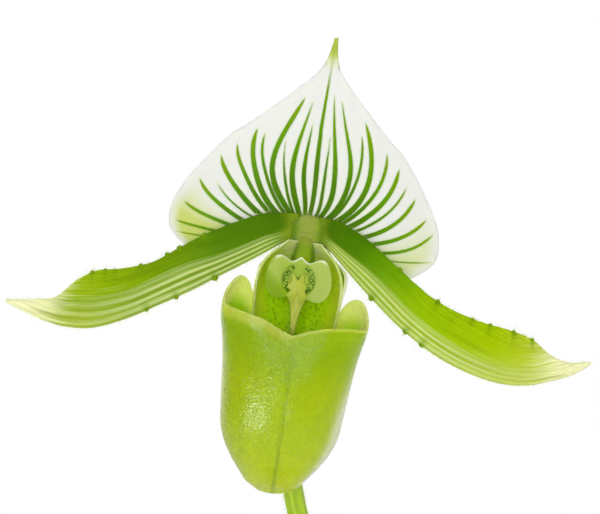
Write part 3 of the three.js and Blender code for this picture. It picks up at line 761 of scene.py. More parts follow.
@dataclass(frozen=True)
class PetalFinish(Tissue):
    """Green tissue with pale stripes along its lower half and a pale tip."""

    name: str = "petal_tissue"
    gloss: float = 0.03
    greens: tuple = RIGHT_GREENS
    pale: Colour = (0.74, 0.82, 0.34)
    valley: Colour = (0.40, 0.54, 0.02)
    lower: Colour = (0.58, 0.67, 0.12)
    tip: Colour = (0.97, 0.98, 0.55)
    foot: Colour = (0.32, 0.44, 0.02)
    wart: Colour = (0.17, 0.34, 0.0)
    stripes: tuple = (
        (0.0, 0.9), (0.03, 0.3), (0.05, 0.1), (0.085, 0.8), (0.10, 0.9), (0.13, 0.1), (0.17, 0.05),
        (0.20, 0.9), (0.215, 0.9), (0.245, 0.1), (0.285, 0.05), (0.32, 0.9), (0.335, 0.8), (0.365, 0.05),
        (0.43, 0.4), (0.47, 0.0),
    )

    def material(self) -> bpy.types.Material:
        """Stripes follow the mark vein, which is 0 at the lower margin and rises across the petal.

        Returns:
            The material.
        """
        shader = self.shader()
        mark, step, noise, pair = shader.mark, shader.step, shader.noise, shader.pair
        along, vein, across = mark("along"), mark("vein"), mark("across")
        wander = (noise(1.0, pair(along * 8, vein * 30), 2.0) - 0.5) * 0.02
        bands = Value(shader, shader.ramp(vein + wander, [(v, (k, k, k)) for v, k in self.stripes]))
        bands = bands * step(along, 0.03, 0.13) * (0.12 + step(along, 0.8, 0.38) * 0.88)
        streaks = noise(1.0, pair(along * 3, vein * 24), 3.0)
        fibres = noise(1.0, pair(along * 5, vein * 55), 2.0)
        near = step(along, 0.10, 0.03) * step(across, 0.1, -0.5)
        near = near + step(along, 0.065, 0.005) * step(across, -0.5, 0.1)
        green = shader.layers(
            shader.ramp(along + noise(6.0) * 0.05 - 0.025, self.greens),
            (step(vein, 0.58, 0.30) * step(along, 0.02, 0.12) * 0.75, self.valley),
            (step(along, 0.45, 0.8) * step(across, 0.3, -0.7) * 0.9, self.lower),
            (near * 0.85, self.foot),
            (step(along + (streaks - 0.5) * 0.3, 0.70, 0.92), self.tip),
        )
        green = shader.shaded(green, 0.86 + fibres * 0.36 - step(streaks, 0.50, 0.36) * 0.16)
        fine = step(streaks, 0.52, 0.66) * step(vein, 0.75, 0.35) * step(along, 0.15, 0.45)
        colour = shader.layers(
            green,
            (bands + fine * 0.4, self.pale),
            (mark("wart") * 0.7, self.wart),
            (mark("hair"), self.pale),
        )
        return shader.finish(colour, bump=[(fibres, 0.10), (noise(0.3, detail=2.0), 0.05)])


@dataclass(frozen=True)
class LipFinish(Tissue):
    """Glossy yellow-green skin with a fine cell relief, paler inside."""

    name: str = "lip_skin"
    roughness: float = 0.24
    gloss: float = 0.4
    glow: float = 1.0
    reach: float = 2.5
    skin: Colour = (0.44, 0.575, 0.0)
    high: Colour = (0.345, 0.515, 0.0)
    toe: Colour = (0.57, 0.69, 0.002)
    inside: Colour = (0.76, 0.84, 0.33)
    deep: Colour = (0.48, 0.68, 0.01)
    # rim: pale colour of the rim's edge, also laid under the left front rim as a painted highlight
    rim: Colour = (0.62, 0.74, 0.09)
    crease: Colour = (0.20, 0.33, 0.001)
    # sheen: pale colour painted on the pouch's lower right side, a painted sheen standing in for light
    # reflected at a grazing angle
    sheen: Colour = (0.80, 0.85, 0.48)

    def material(self) -> bpy.types.Material:
        """The marks outer, below and midline tell the wall's side, the depth under the rim and the crease.

        Returns:
            The material.
        """
        shader = self.shader()
        mark, step, noise = shader.mark, shader.step, shader.noise
        below, mottle = mark("below"), noise(4.0)
        skin = shader.layers(
            self.skin,
            (step(below + mottle * 8, 22, 42), self.toe),
            (step(below, 13, 4), self.high),
        )
        # Painted shade: the skin is darkened by up to 9 percent towards the pouch's left side
        skin = shader.shaded(skin, 0.93 + noise(1.2) * 0.14 - step(mark("side"), 0.1, -0.9) * 0.09)
        skin = shader.layers(
            skin,
            # Painted sheen: a pale band on the lower right side of the pouch
            (step(mark("sheen"), 0.05, 0.65), self.sheen),
            (step(mark("midline"), 0.55, 0.1) * 0.55, self.crease),
            # Painted highlight: a pale band under the left front rim; the next coat paints the rim's edge
            # itself
            (mark("band") * 0.75, self.rim),
            (step(below, 0.5, 0.1) * 0.7, self.rim),
        )
        inside = shader.blend(step(below, 1.5, 6.0), self.inside, self.deep)
        inside = shader.shaded(inside, 0.85 + mottle * 0.3)
        colour = shader.blend(mark("outer"), inside, skin)
        ridges = step(shader.cells(1.5, edges=True), 0.10, 0.0)
        rough = noise(0.9) * 0.16 + self.roughness - 0.06
        return shader.finish(colour, rough, [(shader.cells(0.42), 0.06), (noise(1.3), 0.035), (ridges, 0.02)])


@dataclass(frozen=True)
class TroughFinish(Tissue):
    """Clear pale green walls with dark spots at the back, whitish along their edges and top, partly painted
    highlight.
    """

    name: str = "trough_skin"
    roughness: float = 0.22
    gloss: float = 0.45
    glow: float = 1.0
    reach: float = 1.2
    bloom: float = 0.9
    bloom_tint: Colour = (0.72, 0.95, 0.08)
    wall: Colour = (0.70, 0.99, 0.01)
    # side: paler, yellower colour towards the walls' sides, painted light standing in for light that shines
    # through them
    side: Colour = (0.80, 1.0, 0.03)
    # pale: whitish colour of the edges and the top, partly their own pale margin, partly a painted highlight on
    # the rounded rims and painted light where the top lies in the petals' shade
    pale: Colour = (0.84, 1.0, 0.42)
    floor: Colour = (0.46, 0.92, 0.0)
    spot: Colour = (0.20, 0.54, 0.0)

    def material(self) -> bpy.types.Material:
        """The mark edge grows towards the walls' free edges, and floor towards the spotted back.

        Returns:
            The material.
        """
        shader = self.shader()
        mark, noise = shader.mark, shader.noise
        beads, floor = shader.cells(0.75), mark("floor")
        spots = shader.step(beads + noise(0.9) * 0.5, 0.82, 0.44) * floor
        colour = shader.layers(
            self.wall,
            # Painted light: the sides are paler, for light that shines through the thin walls
            (mark("side"), self.side),
            # Partly painted highlight: the edges and the top are whitish
            (mark("edge"), self.pale),
            (floor * 0.3, self.floor),
            (spots * 0.55, self.spot),
        )
        return shader.finish(colour, bump=[(1 - beads, 0.16), (noise(0.5), 0.05)])


@dataclass(frozen=True)
class KeelFinish(Tissue):
    """Smooth pale yellow-green of the keel."""

    name: str = "keel_skin"
    roughness: float = 0.4
    glow: float = 0.6
    reach: float = 1.2
    crest: Colour = (0.84, 0.92, 0.18)
    foot: Colour = (0.84, 0.92, 0.12)

    def material(self) -> bpy.types.Material:
        """Paler along the crest."""
        shader = self.shader()
        colour = shader.blend(shader.mark("crest"), self.foot, self.crest)
        return shader.finish(colour, bump=[(shader.noise(0.5), 0.06)])


@dataclass(frozen=True)
class ColumnFinish(Tissue):
    """Pale green staminode with a ring of dark cells, a painted white highlight along its top edge, and a green
    stalk.
    """

    name: str = "column_tissue"
    roughness: float = 0.35
    gloss: float = 0.15
    pale: Colour = (0.45, 0.57, 0.10)
    middle: Colour = (0.33, 0.50, 0.01)
    lost: Colour = (0.23, 0.40, 0.005)
    # white: painted highlight along the staminode's top edge; on the pad's hairs it is their pale colour
    white: Colour = (0.84, 0.90, 0.62)
    cell: Colour = (0.05, 0.17, 0.0)
    bead: Colour = (0.42, 0.62, 0.05)
    boss: Colour = (0.50, 0.57, 0.06)
    # tail: the boss's lower tail, pale like the keel it runs into, and painted lighter still against the shadow
    # it lies in
    tail: Colour = (0.92, 0.98, 0.19)
    stalk: Colour = (0.26, 0.43, 0.0)
    strip: Colour = (0.13, 0.27, 0.0)
    haze: Colour = (0.37, 0.46, 0.04)

    def material(self) -> bpy.types.Material:
        """Each zone has a mark: lobes, middle, crown edge with its painted highlight, ring, boss, stalk and its
        dark strips.

        Returns:
            The material.
        """
        shader = self.shader()
        mark, noise = shader.mark, shader.noise
        dark = shader.step(mark("ring") * (0.3 + noise(0.6) * 1.4), 0.2, 0.95)
        colour = shader.layers(
            self.pale,
            (mark("middle"), self.middle),
            (mark("deep") * 0.8, self.lost),
            (mark("stalk"), self.stalk),
            (mark("strip"), self.strip),
            (mark("haze"), self.haze),
            (dark * 0.9, self.cell),
            (mark("bead"), self.bead),
            # The boss's lower tail is painted lighter to offset its shade
            (mark("boss"), shader.blend(mark("tail"), self.boss, self.tail)),
            (mark("dot"), self.cell),
            # Painted highlight along the staminode's top edge, and the pale colour of the pad's hairs
            (mark("white"), self.white),
        )
        return shader.finish(colour, bump=[(noise(0.6), 0.04), (shader.cells(0.3), 0.02)])


@dataclass(frozen=True)
class StemFinish(Tissue):
    """Green stem skin with fine lengthwise lines and down."""

    name: str = "stem_skin"
    green: Colour = (0.49, 0.67, 0.03)
    groove: Colour = (0.31, 0.49, 0.01)
    flush: Colour = (0.13, 0.10, 0.03)
    down: Colour = (0.62, 0.70, 0.42)

    def material(self) -> bpy.types.Material:
        """The marks groove, flush and hair tell the dark lines, the darker foot and the down.

        Returns:
            The material.
        """
        shader = self.shader()
        mark, noise = shader.mark, shader.noise
        specks = shader.step(noise(0.9), 0.5, 0.68)
        colour = shader.layers(
            self.green,
            (mark("groove") * 0.7, self.groove),
            (mark("flush") * (0.35 + specks * 0.5), self.flush),
        )
        colour = shader.shaded(colour, 0.86 + noise(3.0) * 0.28)
        colour = shader.blend(mark("hair") * 0.8, colour, self.down)
        return shader.finish(colour, bump=[(noise(0.35, shader.place((1, 1, 0.12))), 0.10)])


@dataclass(frozen=True)
class LeafFinish(Tissue):
    """Leathery leaf, tessellated in dark and pale green above, plain and paler below."""

    name: str = "leaf_skin"
    roughness: float = 0.36
    gloss: float = 0.4
    glow: float = 0.12
    dark: Colour = (0.028, 0.098, 0.020)
    pale: Colour = (0.205, 0.325, 0.130)
    under: Colour = (0.115, 0.215, 0.062)
    purple: Colour = (0.09, 0.035, 0.05)
    vein: Colour = (0.05, 0.14, 0.03)

    def material(self) -> bpy.types.Material:
        """The marks run and side are millimetres along and across a leaf, and seed tells leaves apart.

        Returns:
            The material.
        """
        shader = self.shader()
        mark, step, noise, pair = shader.mark, shader.step, shader.noise, shader.pair
        run, side, seed = mark("run"), mark("side"), mark("seed")
        patches = noise(1.0, pair(run * 0.16, side * 0.34, seed), 4.0)
        cross = noise(1.0, pair(run * 0.75, side * 0.16, seed + 5), 2.0)
        lines = shader.math("PINGPONG", side + patches * 0.8, 1.05)
        tone = patches * 0.8 + cross * 0.45 + step(lines, 0.0, 0.5) * 0.06
        light = step(tone, 0.60, 0.74)
        top = shader.layers(
            self.dark,
            (light, self.pale),
            (step(lines, 0.22, 0.05) * 0.5, self.vein),
            (step(shader.math("ABSOLUTE", side), 1.0, 0.2) * 0.6, self.dark),
        )
        spots = step(shader.cells(1.7), 0.34, 0.22) * step(run, 70, 5)
        under = shader.layers(self.under, (light * 0.3, self.pale), (spots * 0.75, self.purple))
        colour = shader.shaded(shader.blend(mark("face"), under, top), 0.88 + noise(9.0) * 0.24)
        rough = self.roughness + noise(2.5) * 0.14
        return shader.finish(colour, rough, [(lines, 0.10), (noise(0.7, detail=2.0), 0.08)])


@dataclass(frozen=True)
class ClayFinish:
    """Unglazed terracotta with fine grain, throwing lines and a pale lime bloom."""

    clay: Colour = (0.47, 0.175, 0.085)
    light: Colour = (0.60, 0.27, 0.145)
    dark: Colour = (0.30, 0.10, 0.05)
    lime: Colour = (0.74, 0.66, 0.56)
    damp: Colour = (0.20, 0.11, 0.05)

    def material(self) -> bpy.types.Material:
        """The mark lime grows where salts dry out, and damp inside the pot.

        Returns:
            The material.
        """
        shader = Shader("terracotta", Roughness=0.85, Specular_IOR_Level=0.25)
        mark, step, noise = shader.mark, shader.step, shader.noise
        broad, fine = noise(22.0, detail=5.0), noise(1.1, detail=6.0)
        bands = noise(4.0, shader.place((0.05, 0.05, 1.0)), 3.0)
        colour = shader.layers(
            self.clay,
            (step(broad, 0.35, 0.7), self.light),
            (step(fine, 0.66, 0.8) * 0.6, self.dark),
        )
        bloom = mark("lime") * step(broad + fine * 0.35, 0.56, 0.86)
        colour = shader.layers(
            shader.shaded(colour, 0.88 + bands * 0.24),
            (bloom * 0.8, self.lime),
            (mark("damp") * 0.7, self.damp),
        )
        pits = step(shader.cells(0.9), 0.0, 0.3)
        return shader.finish(colour, bump=[(bands, 0.25), (fine, 0.22), (pits, 0.05)])


@dataclass(frozen=True)
class BarkFinish:
    """Fir bark chips, with a few grains of pumice and charcoal between them."""

    outer: Colour = (0.105, 0.052, 0.028)
    cut: Colour = (0.36, 0.19, 0.095)
    dust: Colour = (0.045, 0.025, 0.015)
    pumice: Colour = (0.72, 0.69, 0.62)
    charcoal: Colour = (0.012, 0.012, 0.012)

    def material(self) -> bpy.types.Material:
        """The mark tone tells one chip from the next, and pumice and coal pick the other grains.

        Returns:
            The material.
        """
        shader = Shader("fir_bark", Roughness=0.9, Specular_IOR_Level=0.2)
        mark, step, noise = shader.mark, shader.step, shader.noise
        fibres = noise(1.6, shader.place((0.35, 1.0, 1.6)), 5.0)
        plates = noise(3.5, detail=4.0)
        share = step(fibres * 0.5 + plates * 0.35 + mark("tone") * 0.5, 0.45, 0.95)
        colour = shader.layers(
            self.outer,
            (share, self.cut),
            (step(plates, 0.44, 0.3) * 0.8, self.dust),
            (mark("pumice"), shader.shaded(self.pumice, 0.8 + fibres * 0.4)),
            (mark("coal"), self.charcoal),
        )
        return shader.finish(colour, bump=[(fibres, 0.5), (plates, 0.5)])


@dataclass(frozen=True)
class MossFinish:
    """Low green moss between the chips."""

    green: Colour = (0.10, 0.20, 0.02)
    tip: Colour = (0.28, 0.40, 0.05)

    def material(self) -> bpy.types.Material:
        """Lighter towards each shoot's tip."""
        shader = Shader("moss", Roughness=0.7, Specular_IOR_Level=0.2)
        colour = shader.blend(shader.mark("tip"), self.green, self.tip)
        return shader.finish(shader.shaded(colour, 0.7 + shader.noise(2.0) * 0.6))


@dataclass(frozen=True)
class RootFinish:
    """Brown hairy roots with paler growing tips, and the green short stem among old sheaths."""

    brown: Colour = (0.21, 0.125, 0.06)
    felt: Colour = (0.36, 0.25, 0.14)
    sheath: Colour = (0.30, 0.33, 0.12)

    def material(self) -> bpy.types.Material:
        """The mark stem is 1 on the short stem and 0 on the roots.

        Returns:
            The material.
        """
        shader = Shader("root_felt", Roughness=0.85, Specular_IOR_Level=0.2)
        felt = shader.noise(0.8, detail=5.0)
        colour = shader.layers(
            self.brown,
            (shader.step(felt, 0.4, 0.65), self.felt),
            (shader.mark("stem") * (0.5 + felt * 0.5), self.sheath),
        )
        return shader.finish(colour, bump=[(felt, 0.35)])


# Pieces


def mount(made: bpy.types.Object, slot: Slot, *nodes: str) -> bpy.types.Object:
    """Rides a piece on the frame, in place of CAD nodes.

    Args:
        made: The piece, already in place.
        slot: Not used.
        nodes: The CAD nodes that it stands for.

    Returns:
        The piece.
    """
    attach(made, ROOT_BODY)
    if nodes:
        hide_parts(*nodes)
    return made


def piece(
    form: Form, name: str, material: bpy.types.Material, slot: Slot, *nodes: str, sharp: float = 60
) -> bpy.types.Object:
    """Makes a form into a piece that rides on the frame.

    Args:
        form: Its form, in the row frame.
        name: Its name.
        material: Its finish.
        slot: The record's slot that the finish comes from.
        nodes: The CAD nodes that it stands for.
        sharp: Edges that bend more than this many degrees stay crisp.

    Returns:
        The piece.
    """
    return mount(form.object(name, material, sharp=sharp), slot, *nodes)


@dataclass(frozen=True)
class Vein:
    """One vein of the dorsal sepal.

    Its three positions across the sepal are at its foot, its middle and its end, as shares of the half width.
    Blunt is the share of its length over which it runs out.
    """

    across: tuple[float, float, float]
    reach: float
    width: float
    blunt: float = 0.12


@dataclass
class DorsalSepal:
    """The broad striped sepal above the flower."""

    finish: SepalFinish = SepalFinish()
    midline: float = -0.1
    midline_lean: float = 0.03
    rim: tuple = (
        (0.35, 36.2), (0.95, 32.3), (2.35, 29.3), (7.4, 24), (13.4, 18.4), (17.2, 15.1),
        (21.4, 9.5), (24.1, 5.2), (25.8, 1.2), (25.7, -3.6), (21.8, -7.1),
    )
    pull: tuple = (
        (0.1, 18), (7.4, 11), (13.4, 11.7), (18.0, 7.8), (17.8, 6.2), (18.2, 3.6),
        (19.7, -1.0), (20, -2.8), (20.5, -4.8), (15, -5.4), (13, -6.8),
    )
    root_end: tuple = (3, -3.4)
    back: float = 2.6
    half_width: float = 26
    side_back: float = 5.2
    groove: float = 0.7
    groove_width: float = 3
    height: float = 36
    hood: float = 4.5
    thick: float = 1.0
    margin: float = 0.7
    rows: int = 66
    columns: int = 401
    left: tuple[Vein, ...] = (
        Vein((0.02, 0.055, 0.048), 0.61, 0.9, 0.42), Vein((0.085, 0.108, 0.075), 0.76, 1.05, 0.42),
        Vein((0.16, 0.15, 0.165), 0.58, 0.55, 0.42), Vein((0.20, 0.222, 0.15), 0.83, 1.05),
        Vein((0.255, 0.25, 0.28), 0.73, 0.65), Vein((0.327, 0.298, 0.342), 0.85, 1.05),
        Vein((0.45, 0.385, 0.43), 0.85, 0.80), Vein((0.535, 0.498, 0.52), 0.87, 1.0),
        Vein((0.557, 0.555, 0.557), 0.70, 0.42), Vein((0.645, 0.60, 0.617), 0.88, 0.85),
        Vein((0.735, 0.718, 0.742), 0.86, 0.75), Vein((0.83, 0.827, 0.858), 0.92, 0.62),
        Vein((0.90, 0.907, 0.914), 0.95, 0.38),
    )
    right: tuple[Vein, ...] = (
        Vein((0.14, 0.075, 0.055), 0.56, 0.62, 0.42), Vein((0.20, 0.112, 0.05), 0.77, 0.95, 0.42),
        Vein((0.263, 0.195, 0.11), 0.82, 0.95, 0.42), Vein((0.283, 0.238, 0.225), 0.71, 0.60),
        Vein((0.352, 0.292, 0.262), 0.85, 1.05), Vein((0.472, 0.377, 0.372), 0.85, 0.75),
        Vein((0.535, 0.485, 0.458), 0.86, 1.0), Vein((0.572, 0.54, 0.527), 0.84, 0.55),
        Vein((0.63, 0.595, 0.577), 0.88, 0.85), Vein((0.737, 0.70, 0.678), 0.90, 0.80),
        Vein((0.812, 0.80, 0.76), 0.92, 0.65), Vein((0.91, 0.902, 0.896), 0.97, 0.32),
    )
    midrib: Vein = Vein((0.06, 0.0, 0.0), 0.97, 0.95, 0.67)
    foot_wide: float = 1.22
    tip_narrow: float = 0.48
    lobe_tints: tuple[float, float] = (1.5, 0.62)
    hairs: int = 420

    def at(self, s: Array, t: Array) -> Array:
        """The middle surface: s runs out along a vein, and t is the vein, from lobe to lobe.

        Args:
            s: How far along, from 0 to 1.
            t: How far across, from -1 to 1.

        Returns:
            The points.
        """
        vein = np.abs(t)
        rim, pull = through(self.rim, vein), through(self.pull, vein)
        out = s[..., None]
        foot = np.array(self.root_end) * vein[..., None]
        flat = (1 - out) ** 2 * foot + 2 * out * (1 - out) * pull + out**2 * rim
        side, up = flat[..., 0], flat[..., 1]
        lobe = self.side_back * (side / self.half_width) ** 2
        groove = self.groove * hump(side, self.groove_width)
        nod = self.hood * np.maximum(up / self.height, 0) ** 2.5
        middle = self.midline + self.midline_lean * np.maximum(up, 0)
        return np.stack([middle + np.sign(t) * side, self.back + lobe + groove - nod, up], -1)

    def vein_edge(self, points: Array) -> Array:
        """Distance to the edge of the nearest vein.

        Args:
            points: Places on the sepal as seen from the front.

        Returns:
            The distances in millimetres, negative inside a vein.
        """
        nearest = np.full(len(points), NO_VEIN)
        both = [(v, -1) for v in self.left] + [(v, 1) for v in self.right] + [(self.midrib, 1)]
        for vein, hand in both:
            s = np.linspace(0.03, vein.reach, 28)
            share = s / vein.reach
            line = self.at(s, hand * np.maximum(through(vein.across, share), 0))[:, [0, 2]]
            end = np.minimum(1, ((1 - share) / vein.blunt) ** 0.55)
            half = vein.width / 2 * end * (self.foot_wide - self.tip_narrow * share)
            half = half * lerp(0.72, 1.0, rise(share, 0.0, 0.34))
            start, way = line[:-1], np.diff(line, axis=0)
            reach = ((points[:, None] - start) * way).sum(-1) / (way**2).sum(-1)
            reach = np.clip(reach, 0, 1)
            off = np.linalg.norm(points[:, None] - start - reach[..., None] * way, axis=-1)
            edge = off - (half[:-1] + reach * np.diff(half))
            nearest = np.minimum(nearest, edge.min(1))
        return nearest

    def thickness(self, s: Array, t: Array) -> Array:
        """Thickness over the sepal, least along its margin."""
        return lerp(self.thick, self.margin, np.maximum(s, np.abs(t)) ** 4)

    def waves(self, s: Array, t: Array) -> Array:
        """Slow waves of the margin and a fine ripple between the veins."""
        return 0.25 * np.sin(9 * t + 1) * s**4 + 0.06 * np.sin(46 * t) * s**2

    def fringe(self) -> Form:
        """Short hairs along the margin.

        Returns:
            The form.
        """
        draw = np.random.default_rng(5)
        t = draw.uniform(-0.98, 0.98, self.hairs)
        s = np.full_like(t, 0.998)
        root, ahead = self.at(s, t), self.at(s - 0.02, t)
        hairs = bristles(root, root - ahead, draw.uniform(0.3, 0.8, self.hairs), 0.05, 6)
        return hairs.marked(vein=NO_VEIN, front_share=1.0)

    def build(self) -> list[bpy.types.Object]:
        """Makes the sepal with its fringe.

        Returns:
            The objects, in the order that they are made in.
        """
        rows = np.linspace(0, 1, self.rows) ** 1.1
        columns = np.linspace(-1, 1, self.columns)
        form = blade(self.at, self.thickness, rows, columns, self.waves, rounding=0.03)
        along, across = form.marks["along"], form.marks["across"]
        flat = self.at(along, across)
        up = flat[:, 2]
        lobes = rise(np.abs(across), 0.56, 0.94) * (1 - rise(along, 0.80, 1.0))
        lobes = lobes * np.where(across < 0, *self.lobe_tints)
        form = form.marked(
            vein=self.vein_edge(flat[:, [0, 2]]),
            tint=np.minimum(np.maximum(lobes, rise(up, 29.5, 33.5) * 0.8), 1),
            tip=rise(up, 31.6, 33.8),
            foot=1 - rise(np.hypot(flat[:, 0], up), 1.2, 3.2),
            front_share=(0.55 + 0.45 * form.marks["face"]) * (1 - 0.8 * rise(up, 26, 30.5)),
        )
        whole = joined(form, self.fringe()).placed(from_flower_frame)
        return [piece(whole, "sepal_dorsal", self.finish.material(), Slot.SEPAL, "dorsal_sepal")]


@dataclass
class Synsepal:
    """The two lower sepals, grown into one behind the lip."""

    finish: SepalFinish = SepalFinish(name="lower_sepal_tissue", glow=1.0, reach=4.0)
    middle: float = 0.9
    length: float = 33
    top: float = -4.4
    half_widths: tuple = (4.4, 8.4, 8.2, 7.5, 6.8, 5.0, 2.6, 0.5)
    back: float = 4.6
    lean: float = 1.4
    curl_radius: float = 18
    keel: float = 0.5
    cup: float = 0.012
    thick: float = 0.9
    veins: int = 11

    def at(self, s: Array, t: Array) -> Array:
        """The middle surface: s runs down it and t across."""
        side = t * through(self.half_widths, s)
        back = self.back - self.lean * s - side**2 / (2 * self.curl_radius) + self.keel * hump(side, 1)
        return np.stack([self.middle + side, back, self.top - self.length * s + self.cup * side**2], -1)

    def build(self) -> list[bpy.types.Object]:
        """Makes the synsepal with its dark veins.

        Returns:
            The objects, in the order that they are made in.
        """
        form = blade(self.at, self.thick, np.linspace(0, 1, 70), crowded(101))
        along, across = form.marks["along"], form.marks["across"]
        width = through(self.half_widths, along)
        spacing = 2 / self.veins
        off = np.abs((across + 1) % spacing - spacing / 2) * width
        form = form.marked(
            vein=off - 0.30 * (1 - rise(along, 0.72, 0.92)),
            tint=0.25 + 0.5 * rise(along, 0.7, 1.0),
            tip=0.0,
            foot=1 - rise(along, 0.0, 0.10),
            front_share=1.0,
        ).placed(from_flower_frame)
        return [piece(form, "sepals_lower", self.finish.material(), Slot.SEPAL, "synsepal")]


@dataclass
class Petal:
    """One drooping petal with warts along its margins."""

    name: str
    hand: int
    upper: tuple
    lower: tuple
    upper_warts: tuple
    lower_warts: tuple
    spread_at: tuple
    spread: tuple
    seed: int
    finish: PetalFinish = PetalFinish()
    back: float = 0.7
    sweep: float = -7
    return_sweep: float = 12
    foot_reach: float = 0.4
    base_tilt: float = 0.3
    tip_tilt: float = -0.3
    camber: float = 1.5
    wart: float = 0.62
    wart_place: float = 0.96
    wart_hairs: int = 7
    hairs: int = 760
    thick: float = 1.1
    margin: float = 0.7
    rows: int = 230
    columns: int = 75
    vein_spacing: float = 0.0575

    def at(self, s: Array, t: Array) -> Array:
        """The middle surface: s runs out to the tip and t from the lower to the upper margin.

        Args:
            s: How far along, from 0 to 1.
            t: How far across, from -1 to 1.

        Returns:
            The points.
        """
        high, low = through(self.upper, s), through(self.lower, s)
        half = np.linalg.norm(high - low, axis=-1) / 2
        tilt = lerp(self.base_tilt, self.tip_tilt, s) * t * half
        camber = self.camber * np.sin(np.pi * s) * t**2
        back = self.back + self.sweep * s + self.return_sweep * s**2 + tilt + camber
        flat = low + (high - low) * ((t + 1) / 2)[..., None]
        out = flat[..., 0] - self.foot_reach * (1 - rise(s, 0, 0.06))
        return np.stack([self.hand * out, back, flat[..., 1]], -1)

    def vein(self, s: Array, t: Array) -> Array:
        """Where a point lies among the lengthwise veins, counted from the lower margin."""
        high, low = through(self.upper, s), through(self.lower, s)
        above = np.linalg.norm(high - low, axis=-1) * (t + 1) / 2
        return above / look_up(self.spread_at, self.spread, s)

    def thickness(self, s: Array, t: Array) -> Array:
        """Thickness over the petal, least along its margins."""
        return lerp(self.thick, self.margin, t**2)

    def relief(self, s: Array, t: Array) -> Array:
        """Ripples along the upper margin and low ridges over the veins."""
        ripple = 0.30 * np.sin(24 * s + 0.8) * rise(t, 0.2, 1.0) * rise(s, 0.2, 0.5)
        ridges = 0.05 * np.cos(self.vein(s, t) * 2 * np.pi / self.vein_spacing) * (1 - rise(s, 0.8, 1))
        return ripple + ridges

    def wart_shade(self, s: Array, t: Array) -> Array:
        """How deep inside the dark foot of a wart a point lies.

        Args:
            s: How far along, from 0 to 1.
            t: How far across, from -1 to 1.

        Returns:
            The points.
        """
        shade = np.zeros_like(s)
        for edge, places in ((1, self.upper_warts), (-1, self.lower_warts)):
            inward = 1 - edge * t
            for place in places:
                shade = np.maximum(shade, hump(s - place, 0.0085) * hump(inward, 0.34))
        return shade

    def warts(self) -> Form:
        """The warts, each with its hairs.

        Returns:
            The form.
        """
        draw = np.random.default_rng(self.seed)
        parts = []
        for edge, places in ((1, self.upper_warts), (-1, self.lower_warts)):
            s = np.array(places)
            t = np.full_like(s, edge * self.wart_place)
            root, inner = self.at(s, t), self.at(s, t * 0.9)
            out = unit(root - inner)
            for share, middle, way in zip(places, root, out):
                size = self.wart * draw.uniform(0.85, 1.05) * (1.5 - 0.8 * share)
                ball = bead((0, 0, 0), (size * 0.8, size * 0.85, size * 0.8))
                lumps = 1 + 0.12 * np.sin(ball.points @ draw.uniform(-4, 4, (3, 1))[:, 0] * 1.6)
                parts.append(Form(ball.points * lumps[:, None] + middle, ball.faces).marked(wart=1.0))
                ways = way + draw.normal(0, 0.45, (self.wart_hairs, 3))
                lengths = draw.uniform(0.7, 1.7, self.wart_hairs)
                parts.append(bristles(middle + unit(ways) * size * 0.7, ways, lengths, 0.07, self.seed))
        return joined(*parts)

    def fringe(self) -> Form:
        """Fine hairs along both margins.

        Returns:
            The form.
        """
        draw = np.random.default_rng(self.seed + 1)
        s = draw.uniform(0.04, 0.985, self.hairs)
        t = np.where(draw.uniform(size=len(s)) < 0.5, 0.995, -0.995)
        root = self.at(s, t)
        ways = root - self.at(s, t * 0.9)
        return bristles(root, ways, draw.uniform(0.4, 1.3, len(s)), 0.05, self.seed + 2)

    def build(self) -> list[bpy.types.Object]:
        """Makes the petal, its warts and its fringe as one piece.

        Returns:
            The objects, in the order that they are made in.
        """
        rows = np.linspace(0, 1, self.rows)
        form = blade(self.at, self.thickness, rows, crowded(self.columns), self.relief, rounding=0.08)
        s, t = form.marks["along"], form.marks["across"]
        form = form.marked(vein=self.vein(s, t), wart=self.wart_shade(s, t))
        whole = joined(form, self.warts(), self.fringe()).placed(from_flower_frame)
        return [piece(whole, f"{self.name}_blade", self.finish.material(), Slot.PETAL, self.name)]


